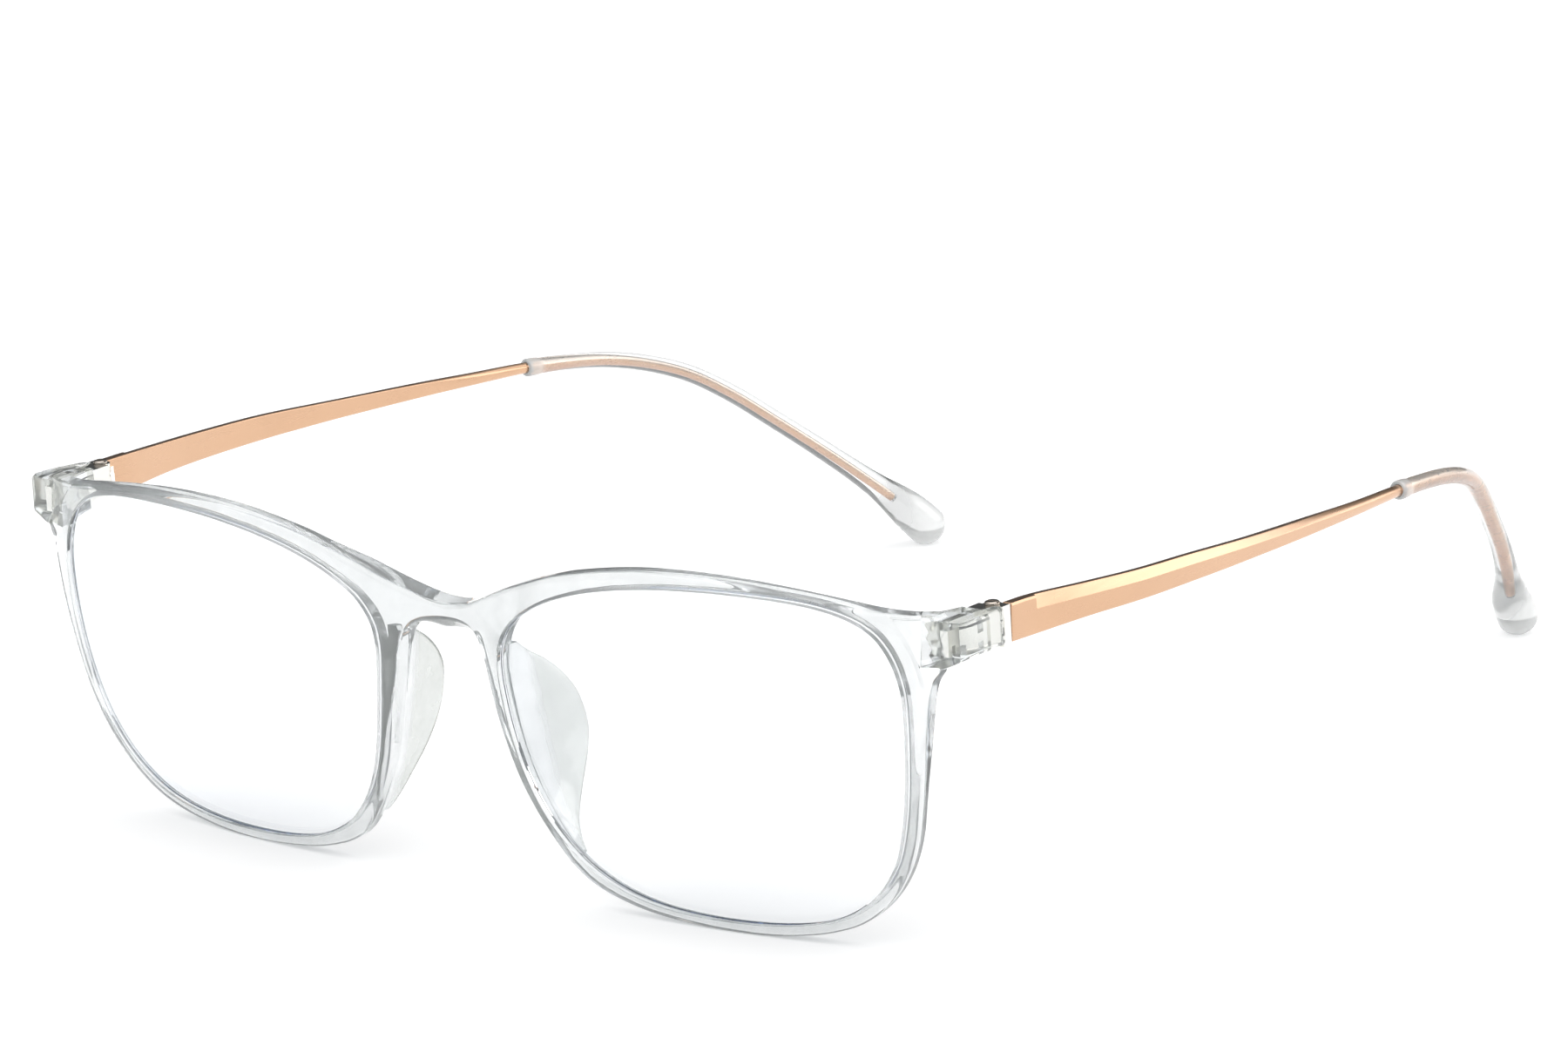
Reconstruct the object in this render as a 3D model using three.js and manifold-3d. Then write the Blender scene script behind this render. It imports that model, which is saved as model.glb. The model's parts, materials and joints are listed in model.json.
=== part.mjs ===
// Full-rim eyeglasses: a clear moulded front, two plano lenses, metal temple
// arms on three-barrel screw hinges, and clear sleeves over the arm ends.
//
// Millimetres, +Z up, standing on the rims and the sleeve ends (z = 0).
// +X is the wearer's left, the front faces -Y and the temples run to +Y.
// Everything is drawn for the wearer's left (+X) and mirrored across X = 0.

import * as THREE from 'three';
import { mergeVertices } from 'three/addons/utils/BufferGeometryUtils.js';
import Module from 'manifold-3d';

const wasm = await Module();
wasm.setup();

const { degToRad, lerp, smoothstep } = THREE.MathUtils;

// ---------------------------------------------------- placing and shared sizes

const FLOOR_Z = 0.13;             // resting plane: rims and sleeve ends are flat here
const CENTRE_Y = 70.168;          // middle of the length, moved onto the origin
const FLOOR_CUT_Z = [-6, FLOOR_Z];
const MERGE_TOLERANCE = 1e-4;

// -------------------------------------------------------------------- helpers

const around = (middle, half) => [middle - half, middle + half];

// Linear interpolation in rows of [key, value], held flat beyond both ends.
function interpolate(rows, at) {
  const next = rows.findIndex(([key]) => at <= key);
  if (next === 0) return rows[0][1];
  if (next < 0) return rows.at(-1)[1];
  const [key0, value0] = rows[next - 1];
  const [key1, value1] = rows[next];
  return value0 + (at - key0) / (key1 - key0) * (value1 - value0);
}

function smoothCurve(points, closed, lengthDivisions) {
  const vectors = points.map(([x, y, z = 0]) => new THREE.Vector3(x, y, z));
  const curve = new THREE.CatmullRomCurve3(vectors, closed, 'centripetal');
  curve.arcLengthDivisions = lengthDivisions;
  return curve;
}

// Evenly spaced points on a smooth curve; a closed one doesn't repeat its start.
function resample(points, steps, closed) {
  const spaced = smoothCurve(points, closed, 800).getSpacedPoints(steps);
  if (closed) spaced.pop();
  return spaced;
}

// Welded positions only, without normals or texture coordinates.
function bare(geometry) {
  for (const name of Object.keys(geometry.attributes)) {
    if (name !== 'position') geometry.deleteAttribute(name);
  }
  return mergeVertices(geometry, MERGE_TOLERANCE);
}

function solid(geometry) {
  const welded = bare(geometry);
  return new wasm.Manifold(new wasm.Mesh({
    numProp: 3,
    vertProperties: new Float32Array(welded.attributes.position.array),
    triVerts: new Uint32Array(welded.index.array),
  }));
}

function geometryFrom(positions, triangles) {
  const geometry = new THREE.BufferGeometry();
  geometry.setAttribute('position', new THREE.Float32BufferAttribute(positions, 3));
  geometry.setIndex(new THREE.Uint32BufferAttribute(triangles, 1));
  return geometry;
}

function geometryOf(manifold) {
  const mesh = manifold.getMesh();
  return geometryFrom(mesh.vertProperties, mesh.triVerts);
}

// Turns the triangles round if they enclose a negative volume.
function outward(geometry) {
  const position = geometry.attributes.position;
  const triangles = Array.from(geometry.index.array);
  const corners = [new THREE.Vector3(), new THREE.Vector3(), new THREE.Vector3()];
  let volume = 0;
  for (let i = 0; i < triangles.length; i += 3) {
    corners.forEach((corner, k) => corner.fromBufferAttribute(position, triangles[i + k]));
    volume += corners[0].dot(corners[1].cross(corners[2])) / 6;
  }
  if (volume < 0) {
    for (let i = 0; i < triangles.length; i += 3) {
      [triangles[i + 1], triangles[i + 2]] = [triangles[i + 2], triangles[i + 1]];
    }
    geometry.setIndex(triangles);
  }
  return geometry;
}

function mirrored(geometry) {
  return outward(geometry.clone().scale(-1, 1, 1));
}

// Closed loft through rings of equally many [x, y, z] points, capped at both ends.
function loft(rings) {
  const sides = rings[0].length;
  const positions = rings.flat(2);
  const triangles = [];
  for (let i = 0; i + 1 < rings.length; i++) {
    for (let k = 0; k < sides; k++) {
      const here = i * sides + k;
      const next = i * sides + (k + 1) % sides;
      triangles.push(here, next, here + sides, next, next + sides, here + sides);
    }
  }
  for (const i of [0, rings.length - 1]) {
    const hub = positions.length / 3;
    for (let axis = 0; axis < 3; axis++) {
      positions.push(rings[i].reduce((sum, point) => sum + point[axis] / sides, 0));
    }
    for (let k = 0; k < sides; k++) {
      const here = i * sides + k;
      const next = i * sides + (k + 1) % sides;
      if (i === 0) triangles.push(hub, next, here);
      else triangles.push(hub, here, next);
    }
  }
  return outward(geometryFrom(positions, triangles));
}

// Solid box from its [low, high] spans.
function box([x0, x1], [y0, y1], [z0, z1]) {
  const geometry = new THREE.BoxGeometry(x1 - x0, y1 - y0, z1 - z0);
  geometry.translate((x0 + x1) / 2, (y0 + y1) / 2, (z0 + z1) / 2);
  return solid(geometry);
}

// -------------------------------------------------------- surface of the front

const PANTOSCOPIC_DEG = 4.46;     // forward lean of the front
const CURVE_LIN = -0.20686;       // linear term across
const CURVE_QUAD = 0.0042614;     // squared term across
const CURVE_VERT = 0.0059326;     // squared term up and down
const CURVE_MID_UP = 24.7;        // height of the front-most point
const BRIDGE_HALF = 9.8;          // half-width over which the bridge arches
const BRIDGE_SET_BACK = 0.74;     // set-back of the bridge middle

const TILT_COS = Math.cos(degToRad(PANTOSCOPIC_DEG));
const TILT_SIN = Math.sin(degToRad(PANTOSCOPIC_DEG));

// Depth of the front surface: each lens is its own shallow dome, and the
// bridge is a smooth (cubic Hermite) arch between the two.
function frontDepth(across, up) {
  const dome = distance => CURVE_LIN * distance + CURVE_QUAD * distance * distance;
  const side = Math.abs(across);
  const vertical = CURVE_VERT * (up - CURVE_MID_UP) ** 2;
  if (side >= BRIDGE_HALF) return dome(side) + vertical;
  const t = side / BRIDGE_HALF;
  const edgeSlope = (CURVE_LIN + 2 * CURVE_QUAD * BRIDGE_HALF) * BRIDGE_HALF;
  return (2 * t ** 3 - 3 * t ** 2 + 1) * BRIDGE_SET_BACK
    + (3 * t ** 2 - 2 * t ** 3) * dome(BRIDGE_HALF)
    + (t ** 3 - t ** 2) * edgeSlope
    + vertical;
}

// Front coordinates (across, up, back from the face) to space.
function place(across, up, back) {
  const depth = frontDepth(across, up) + back;
  return [across, depth * TILT_COS - up * TILT_SIN, up * TILT_COS + depth * TILT_SIN];
}

// ---------------------------------------------------------------- front plate

const RIM_DEPTH = 2.4;            // rim thickness, front to back
const BRIDGE_DEPTH = 3.3;         // the same, at the bridge and nose sides
const DEPTH_BLEND = [8, 17];      // across: bridge depth changes to rim depth
const EDGE_BEVEL = 0.25;          // broken edge around the moulding
const UNDERSIDE_DROP = 2.3;       // fall of the bridge underside, front to back
const UNDERSIDE_BLEND = [2.2, 6.2]; // across: that fall fades out
const UNDERSIDE_TOP = 33;         // outline points below this height may fall
const OUTLINE_STEPS = 104;
const OPENING_POINTS = 60;

// Outer outline [across, up] from the top of the bridge, over the rim and end
// piece, down the temple side, along the bottom and up the nose side.
const OUTLINE = [
  [0,33.81], [2.94,34.3], [5.39,35.28], [7.84,36.41], [10.78,37.68], [12.74,38.42],
  [14.7,39.1], [17.25,39.89], [19.8,40.57], [22.44,41.11], [24.99,41.55], [27.44,41.89],
  [30.38,42.19], [33.32,42.34], [36.26,42.38], [39.2,42.34], [43.61,42.09], [47.53,41.7],
  [50.96,41.26], [53.9,40.82], [56.35,40.42], [58.8,39.98], [61.25,39.64], [63.7,39.49],
  [66.05,39.49], [66.74,39], [66.84,36.26], [66.84,33.91], [66.54,33.03], [65.86,31.95],
  [65.41,30.38], [65.17,28.91], [64.88,26.95], [64.44,24.5], [63.85,21.56], [63.41,19.4],
  [62.92,17.15], [62.33,14.7], [61.54,12.35], [60.66,10.39], [59.78,8.82], [58.6,7.15],
  [57.23,5.59], [55.86,4.31], [54.19,3.09], [52.43,2.16], [49.98,1.32], [47.82,0.78],
  [45.08,0.34], [42.14,0], [39.2,-0.15], [36.06,-0.15], [32.34,0], [28.42,0.34],
  [25.48,0.73], [23.52,1.13], [21.56,1.67], [19.6,2.35], [17.84,3.23], [16.37,4.31],
  [15.09,5.68], [14.01,7.25], [12.94,9.02], [11.96,10.78], [10.98,12.84], [10.09,14.99],
  [9.41,17.15], [8.82,19.21], [8.23,21.36], [7.69,23.52], [7.25,25.48], [6.86,27.24],
  [6.47,28.62], [5.88,30.09], [4.9,31.26], [3.53,31.95], [1.96,32.19], [0,32.24],
];

// Lens opening [across, up], counter-clockwise from the nose side.
const OPENING = [
  [9.21,27.44], [9.51,24.5], [9.95,21.56], [10.54,18.62], [11.27,15.88], [12.25,13.23],
  [13.62,10.58], [14.99,8.62], [16.37,7.06], [17.93,5.63], [19.7,4.46], [21.76,3.43],
  [24.11,2.6], [26.66,2.01], [29.4,1.62], [32.63,1.37], [35.97,1.27], [39.2,1.29],
  [42.14,1.45], [45.08,1.76], [47.63,2.21], [49.98,2.84], [52.04,3.67], [53.9,4.75],
  [55.66,6.08], [57.13,7.55], [58.31,9.11], [59.39,10.88], [60.27,13.03], [61.05,15.58],
  [61.69,18.42], [62.18,21.56], [62.52,24.79], [62.67,27.93], [62.57,30.67], [62.03,33.12],
  [61.05,35.28], [59.68,37.04], [57.82,38.32], [55.37,39.3], [52.43,39.98], [49,40.42],
  [45.08,40.67], [41.16,40.77], [37.24,40.72], [33.32,40.52], [30.38,40.23], [27.44,39.84],
  [24.5,39.3], [21.56,38.61], [18.62,37.68], [15.97,36.6], [13.72,35.38], [11.76,34.05],
  [10.39,32.44], [9.6,30.87], [9.26,29.2],
];

const openingLoop = resample(OPENING, OPENING_POINTS, true);

function frontShape() {
  const half = resample(OUTLINE, OUTLINE_STEPS, false).map(p => new THREE.Vector2(p.x, p.y));
  const otherHalf = half.slice(1, -1).reverse().map(p => new THREE.Vector2(-p.x, p.y));
  const shape = new THREE.Shape([...half, ...otherHalf].reverse());
  for (const side of [1, -1]) {
    const hole = openingLoop.map(p => new THREE.Vector2(side * p.x, p.y));
    shape.holes.push(new THREE.Path(hole));
  }
  return shape;
}

// The head-on shape extruded flat, then bent onto the front surface.
function frontPlate() {
  const flat = new THREE.ExtrudeGeometry(frontShape(), {
    depth: RIM_DEPTH - 2 * EDGE_BEVEL,
    bevelEnabled: true,
    bevelThickness: EDGE_BEVEL,
    bevelSize: EDGE_BEVEL,
    bevelOffset: -EDGE_BEVEL,
    bevelSegments: 1,
    steps: 1,
  });
  flat.translate(0, 0, EDGE_BEVEL);
  const plate = bare(flat);
  const position = plate.attributes.position;
  for (let i = 0; i < position.count; i++) {
    const across = position.getX(i);
    const up = position.getY(i);
    const fraction = position.getZ(i) / RIM_DEPTH;
    const side = Math.abs(across);
    const depth = lerp(BRIDGE_DEPTH, RIM_DEPTH, smoothstep(side, ...DEPTH_BLEND));
    // the underside of the bridge slopes down towards the back
    const drop = up < UNDERSIDE_TOP
      ? UNDERSIDE_DROP * fraction * (1 - smoothstep(side, ...UNDERSIDE_BLEND))
      : 0;
    position.setXYZ(i, ...place(across, up - drop, fraction * depth));
  }
  return outward(plate);
}

// ------------------------------------------------------------------- nose pad

const PAD_STEPS = 15;
const PAD_ROOT_RISE = [0.4, -0.2]; // root height above the free edge, top and bottom
const PAD_ROOT_INSET = 0.85;      // root into the rim from the lens opening
const PAD_ROOT_BACK = 1.2;        // root behind the rim face
const PAD_TIP_LENGTH = 0.35;      // the pad narrows over this length to its edge
const NOSE_SIDE_LIMIT = 30;       // opening points nearer the nose than this

// Free edge of the moulded nose pad, top to bottom [x, y, z].
const PAD_EDGE = [
  [8.72,0.98,30.28], [8.82,2.65,28.91], [9.15,4.95,27.36], [9.64,6.92,25.51],
  [10.25,8.41,23.27], [10.8,8.94,21.18], [11.32,8.98,18.88], [11.74,8.14,16.19],
  [12.22,6.62,13.39], [12.79,5.25,11.26], [13.48,4.1,9.2], [14.46,3.39,7.39],
  [15.24,3.04,6.44],
];

// A thin wing from inside the rim body, along the nose side, to the free edge.
function nosePad() {
  const noseSide = openingLoop.filter(p => p.x < NOSE_SIDE_LIMIT);
  const edges = resample(PAD_EDGE, PAD_STEPS, false);
  return loft(edges.map((edge, i) => {
    const t = i / (edges.length - 1);
    const up = edge.z + lerp(...PAD_ROOT_RISE, t);
    const nearest = noseSide.reduce((best, p) => (
      Math.abs(p.y - up) < Math.abs(best.y - up) ? p : best));
    const root = new THREE.Vector3(...place(nearest.x - PAD_ROOT_INSET, up, PAD_ROOT_BACK));
    const direction = edge.clone().sub(root).normalize();
    const tip = edge.clone().addScaledVector(direction, -PAD_TIP_LENGTH);
    // thickest in the middle of the pad's height
    const halfThickness = 0.48 * Math.sin(Math.PI * (0.32 + 0.56 * t)) + 0.05;
    const side = new THREE.Vector3(direction.y, -direction.x, 0).setLength(halfThickness);
    // section corners: [point, share of the half thickness]
    const section = [[root, -1.3], [tip, -1], [edge, -0.45], [edge, 0.45], [tip, 1], [root, 1.3]];
    return section.map(([point, share]) => point.clone().addScaledVector(side, share).toArray());
  }));
}

// ------------------------------------------------------------------ end block

const BLOCK_EDGE = 0.3;           // broken edges of the end block
const BLOCK_TOP_EDGE = 0.28;      // width of the outer top edge
const BLOCK_LOW_EDGE = 0.25;      // width of the outer bottom edge
const BLOCK_SLOPE = 3.2;          // width of the sloping outer underside
const BLOCK_MIN_FLAT = 1;         // least width from the inner side to that slope

// End block behind the front face:
// [y, x inner, x outer, z low (inner), z high, z low (outer)].
const END_BLOCK = [
  [3.2, 63.7, 67.2, 33.6, 39.4, 34.1],
  [3.7, 63.7, 69.5, 33.6, 39.45, 35.1],
  [4.5, 63.8, 69.95, 33.8, 39.5, 35.35],
  [6.2, 64.4, 69.95, 34, 39.5, 35.35],
  [8.6, 65, 69.7, 34.3, 39.4, 35.2],
  [10.6, 65.2, 69.4, 34.4, 39.3, 35],
  [12.1, 65.3, 69.1, 34.5, 39.2, 34.85],
];

function endBlock() {
  return loft(END_BLOCK.map(([y, inner, outer, low, high, lowOuter]) => [
    [inner + BLOCK_EDGE, y, low],
    [Math.max(inner + BLOCK_MIN_FLAT, outer - BLOCK_SLOPE), y, low],
    [outer - BLOCK_LOW_EDGE, y, lowOuter],
    [outer, y, lowOuter + BLOCK_EDGE],
    [outer, y, high - BLOCK_EDGE],
    [outer - BLOCK_TOP_EDGE, y, high],
    [inner + BLOCK_EDGE, y, high],
    [inner, y, high - BLOCK_EDGE],
    [inner, y, low + BLOCK_EDGE],
  ]));
}

// ----------------------------------------------------------------------- lens

const LENS_THICKNESS = 1.4;
const LENS_FRONT = 0.5;           // lens front face behind the rim face
const LENS_BITE = 0.6;            // how far the lens edge enters the groove
const GROOVE_CLEAR = 0.06;        // clearance around the lens edge
const LENS_HUB = { across: 36, up: 21.4 }; // point the face rings shrink to
const LENS_RINGS = [0.3, 0.6, 0.84, 1];    // face rings, as shares of the edge

function outsetLoop(points, distance) {
  const count = points.length;
  return points.map((point, i) => {
    const before = points[(i + count - 1) % count];
    const after = points[(i + 1) % count];
    const dx = after.x - before.x;
    const dy = after.y - before.y;
    const scale = distance / Math.hypot(dx, dy);
    return { across: point.x + scale * dy, up: point.y - scale * dx };
  });
}

// Lens blank grown all round by a clearance; with it, the blank cuts the groove.
function lensBody(clearance = 0) {
  const edge = outsetLoop(openingLoop, LENS_BITE + clearance);
  const count = edge.length;
  const facePositions = back => [
    place(LENS_HUB.across, LENS_HUB.up, back),
    ...LENS_RINGS.flatMap(share => edge.map(point => place(
      lerp(LENS_HUB.across, point.across, share), lerp(LENS_HUB.up, point.up, share), back))),
  ].flat();
  const positions = [
    ...facePositions(LENS_FRONT - clearance),
    ...facePositions(LENS_FRONT + LENS_THICKNESS + clearance),
  ];
  const backStart = 1 + LENS_RINGS.length * count;
  const triangles = [];
  // one triangle on the front face and its reversed twin on the back face
  const addToFaces = (i, j, k) => {
    triangles.push(i, j, k, i + backStart, k + backStart, j + backStart);
  };
  for (let ring = 0; ring < LENS_RINGS.length; ring++) {
    const start = 1 + ring * count;
    for (let k = 0; k < count; k++) {
      const here = start + k;
      const next = start + (k + 1) % count;
      if (ring === 0) addToFaces(0, here, next);
      if (ring < LENS_RINGS.length - 1) {
        addToFaces(here, here + count, next);
        addToFaces(next, here + count, next + count);
      } else {
        // edge wall
        triangles.push(here, here + backStart, next);
        triangles.push(next, here + backStart, next + backStart);
      }
    }
  }
  return outward(geometryFrom(positions, triangles));
}

// ---------------------------------------------------------------------- hinge

const HINGE_Z = 36.75;            // mid height of the hinge
const HINGE_HALF = 2.3;           // half height of the front hinge body
const PIVOT_X = 67;
const PIVOT_Y = 12.75;
const BARREL_R = 1.15;            // outer radius of the hinge barrels
const BARREL_SIDES = 28;
const BORE_R = 0.52;
const BORE_HALF = 4;              // half length of the bore cutter
const MID_BARREL_HALF = 0.72;     // half height of the temple's barrel
const WASHER_T = 0.16;
const WASHER_R = 1.02;
const WASHER_SIDES = 24;
const HINGE_GAP = 0.03;           // axial running gap at each washer face
const SLOT_HALF = MID_BARREL_HALF + 2 * HINGE_GAP + WASHER_T;
const SLOT_CLEAR = 0.26;          // slot radius beyond the barrel

const BODY_X = [65.35, 68.1];     // hinge body let into the end block
const BODY_Y = [9.6, 12.5];
const STRIP_X = [67.62, 68.7];    // outer strip of the hinge body
const STRIP_Y = [12.3, 13.7];
const HINGE_SPAN_Z = around(HINGE_Z, HINGE_HALF);

const TONGUE_X = [66.5, 67.5];    // anchor tongue moulded into the end block
const TONGUE_FRONT = 4.6;
const TONGUE_HALF = 1.5;          // half height
const TONGUE_OVERLAP = 0.2;       // into the hinge body
const NOTCH_X = [66, 68];
// Notches that key the tongue: [y low, y high, z low, z high], z from HINGE_Z.
const TONGUE_NOTCHES = [[5.5, 6.3, -1.6, -0.3], [7.7, 8.6, -1.6, -0.5], [7.7, 8.6, 0.5, 1.6]];

const SEAT_CLEAR = 0.04;          // clearance round the hinge in the end block
const SEAT_INNER = 64;
const SEAT_BACK = 13;
const SEAT_HALF = 4;              // half height, right through the block

const LINK_X = [PIVOT_X - 0.45, PIVOT_X + 0.25]; // web behind the temple's barrel
const LINK_LENGTH = 1.8;
const LEAF_X = [66.88, 67.26];    // upright plate on the inner side of the arm
const LEAF_Y = [14.15, 14.8];
const LEAF_HALF = 1.5;            // half height

const SCREW_R = 0.46;
const SCREW_HEAD_R = 0.85;
const SCREW_SIDES = 20;
const SCREW_BOTTOM = HINGE_SPAN_Z[0] + 0.1;
const HEAD_BOTTOM = HINGE_SPAN_Z[1] + 0.03;
const HEAD_TOP = HINGE_SPAN_Z[1] + 0.38;
const DRIVE_SLOT = { halfLength: 1.2, halfWidth: 0.12, depth: 0.2 };

function pivotCylinder([z0, z1], radius, sides = BARREL_SIDES) {
  const geometry = new THREE.CylinderGeometry(radius, radius, z1 - z0, sides);
  geometry.rotateX(Math.PI / 2);
  geometry.translate(PIVOT_X, PIVOT_Y, (z0 + z1) / 2);
  return solid(geometry);
}

// Cutter for the screw bore; its flats, not its corners, lie on the bore radius.
function pivotBore(sides = BARREL_SIDES) {
  const radius = BORE_R / Math.cos(Math.PI / sides);
  return pivotCylinder(around(HINGE_Z, BORE_HALF), radius, sides);
}

function anchorTongue() {
  const spanY = [TONGUE_FRONT, BODY_Y[0] + TONGUE_OVERLAP];
  let tongue = box(TONGUE_X, spanY, around(HINGE_Z, TONGUE_HALF));
  for (const [y0, y1, z0, z1] of TONGUE_NOTCHES) {
    tongue = tongue.subtract(box(NOTCH_X, [y0, y1], [HINGE_Z + z0, HINGE_Z + z1]));
  }
  return tongue;
}

function frontHinge() {
  const slot = pivotCylinder(around(HINGE_Z, SLOT_HALF), BARREL_R + SLOT_CLEAR);
  return geometryOf(box(BODY_X, BODY_Y, HINGE_SPAN_Z)
    .add(box(STRIP_X, STRIP_Y, HINGE_SPAN_Z))
    .add(pivotCylinder(HINGE_SPAN_Z, BARREL_R))
    .add(anchorTongue())
    .subtract(slot)
    .subtract(pivotBore()));
}

// Cutter for the hinge's seat in the end block: anchor tongue and body.
function hingeSeat() {
  const tongueX = [TONGUE_X[0] - SEAT_CLEAR, TONGUE_X[1] + SEAT_CLEAR];
  const tongueY = [TONGUE_FRONT - SEAT_CLEAR, SEAT_BACK];
  const bodyX = [SEAT_INNER, BODY_X[1] + SEAT_CLEAR];
  const bodyY = [BODY_Y[0] - SEAT_CLEAR, SEAT_BACK];
  return geometryOf(box(tongueX, tongueY, around(HINGE_Z, TONGUE_HALF + SEAT_CLEAR))
    .add(box(bodyX, bodyY, around(HINGE_Z, SEAT_HALF))));
}

function templeHinge() {
  const barrelZ = around(HINGE_Z, MID_BARREL_HALF);
  return geometryOf(pivotCylinder(barrelZ, BARREL_R)
    .add(box(LINK_X, [PIVOT_Y, PIVOT_Y + LINK_LENGTH], barrelZ))
    .add(box(LEAF_X, LEAF_Y, around(HINGE_Z, LEAF_HALF)))
    .subtract(pivotBore()));
}

function hingeScrew() {
  // [radius, z]
  const profile = [
    [0, SCREW_BOTTOM], [SCREW_R - 0.08, SCREW_BOTTOM], [SCREW_R, SCREW_BOTTOM + 0.1],
    [SCREW_R, HEAD_BOTTOM], [SCREW_HEAD_R, HEAD_BOTTOM],
    [SCREW_HEAD_R, HEAD_TOP - 0.12], [SCREW_HEAD_R - 0.15, HEAD_TOP], [0, HEAD_TOP],
  ].map(([radius, z]) => new THREE.Vector2(radius, z));
  const turned = new THREE.LatheGeometry(profile, SCREW_SIDES);
  turned.rotateX(Math.PI / 2);
  turned.translate(PIVOT_X, PIVOT_Y, 0);
  const driveSlot = box(
    around(PIVOT_X, DRIVE_SLOT.halfLength),
    around(PIVOT_Y, DRIVE_SLOT.halfWidth),
    [HEAD_TOP - DRIVE_SLOT.depth, HEAD_TOP + 1],
  );
  return geometryOf(solid(outward(bare(turned))).subtract(driveSlot));
}

// Washer above (side 1) or below (side -1) the temple's barrel.
function hingeWasher(side) {
  const middle = HINGE_Z + side * (MID_BARREL_HALF + HINGE_GAP + WASHER_T / 2);
  return geometryOf(pivotCylinder(around(middle, WASHER_T / 2), WASHER_R, WASHER_SIDES)
    .subtract(pivotBore(WASHER_SIDES)));
}

// ----------------------------------------------------------------- temple arm

const ARM_START = 14.05;          // front end of the temple arm (y)
const ARM_FLAT_END = 18.2;        // the flat first stretch ends here (y)
const ARM_ROUNDING = [62, 90];    // the section turns from bar to ellipse (y)
const ARM_EDGE = 0.12;            // broken edges of the bar
const CORE_END_Y = 138;           // end of the wire core

// Centre line of the arm and its wire core, then of the sleeve end [x, y, z].
const ARM_PATH = [
  [67.95,14.05,36.85], [68.15,18,36.77], [69.2,26,36.58], [70.1,35,36.23], [70.3,44,35.91],
  [70.1,53,35.44], [69.6,62,34.97], [68.9,71,34.5], [68,80,33.97], [66.9,89,33.5],
  [65.8,96,32.85], [64.6,102,31.9], [62.8,108,30.25], [60.6,113.4,27.91], [58.2,118.6,24.37],
  [55.6,124.2,19.72], [52.9,129.8,14.88], [50.5,134.2,10.79], [48.6,137.4,7.62],
  [47.5,139.4,5.5], [46.9,140.9,3.93], [46.3,142.3,2.4],
];

// Full height of the arm [y, height].
const ARM_HEIGHT = [
  [14,4.3], [18,4.35], [22,4], [26,3.68], [34,3.35], [43,3.05], [49,2.75], [56,2.35],
  [64,2.05], [72,1.85], [79,1.65], [85,1.5], [89,1.4], [95,1.08], [101,0.88], [110,0.76],
  [120,0.72], [138,0.64],
];

// Half thickness of the arm, which thins to a slim wire inside the sleeve
// [y, half thickness].
const ARM_HALF_T = [[14,0.65], [89,0.65], [95,0.5], [101,0.36], [108,0.28], [138,0.25]];

// Section stations (y) shared by the wire core, the sleeve and its bore.
const CORE_STATIONS = [95, 99, 103, 106.5, 110, 113.4, 117, 121, 125, 129];
const ARM_STATIONS = [
  ARM_START, 16, ARM_FLAT_END, ARM_FLAT_END + 0.25, 22, 26, 31, 37, 44, 51, 58, 65, 72, 79,
  85, 90, ...CORE_STATIONS, 133, 136, CORE_END_Y,
];

const armCurve = smoothCurve(ARM_PATH, false, 2000);

// Curve parameter at a given y, by bisection.
function paramAtY(y) {
  let low = 0;
  let high = 1;
  for (let i = 0; i < 40; i++) {
    const middle = (low + high) / 2;
    if (armCurve.getPoint(middle).y < y) low = middle;
    else high = middle;
  }
  return (low + high) / 2;
}

// Sets a section of [outwards, upwards] points square to the arm's path at y,
// optionally moved on along the path.
function ringAt(y, section, advance = 0) {
  const t = paramAtY(y);
  const along = armCurve.getTangent(t);
  const centre = armCurve.getPoint(t).addScaledVector(along, advance);
  const outwards = new THREE.Vector3(along.y, -along.x, 0).normalize();
  const upwards = new THREE.Vector3().crossVectors(outwards, along).normalize();
  return section.map(([out, up]) => (
    centre.clone().addScaledVector(outwards, out).addScaledVector(upwards, up).toArray()));
}

// Arm section: flat bar, then a bar with a bevelled upper facet, then wire.
function armSection(y) {
  const high = interpolate(ARM_HEIGHT, y) / 2;
  const wide = interpolate(ARM_HALF_T, y);
  const roundness = smoothstep(y, ...ARM_ROUNDING);
  const upperOuter = y > ARM_FLAT_END
    ? [[wide, high * 0.28], [wide - 0.42, high - 0.1], [wide - 0.55, high]]
    : [[wide, high * 0.6], [wide, high - ARM_EDGE], [wide - ARM_EDGE, high]];
  const bar = [
    [-wide, -high + ARM_EDGE], [-wide + ARM_EDGE, -high],
    [wide - ARM_EDGE, -high], [wide, -high + ARM_EDGE],
    ...upperOuter,
    [-wide + ARM_EDGE, high], [-wide, high - ARM_EDGE], [-wide, 0],
  ];
  return bar.map(([out, up]) => {
    const angle = Math.atan2(up / high, out / wide);
    return [
      lerp(out, wide * Math.cos(angle), roundness),
      lerp(up, high * Math.sin(angle), roundness),
    ];
  });
}

function templeArm() {
  return loft(ARM_STATIONS.map(y => ringAt(y, armSection(y))));
}

// --------------------------------------------------------------------- sleeve

const COLLAR_Y = 89;              // mouth of the sleeve
const SLEEVE_END_Y = 142.1;       // last section before the rounded end
const SLEEVE_SIDES = 16;
const BULB_R = 2.65;              // bulb at the end of the sleeve
const BULB_FLATTEN = 0.95;        // length of the rounded end over its radius
const BULB_SINK = 0.05;           // the rounded end sits forward by this much
const BULB_STEPS = [0.3, 0.6, 0.82, 0.95]; // rings, as shares of the rounded end
const BORE_SIDES = 10;
const SLEEVE_CLEAR = 0.12;        // sleeve bore clearance on the wire core
const SLEEVE_WALL = 0.22;         // least wall above and below the bore
const MOUTH_HALF_T = 0.66;        // half thickness the bore clears at the mouth

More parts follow.
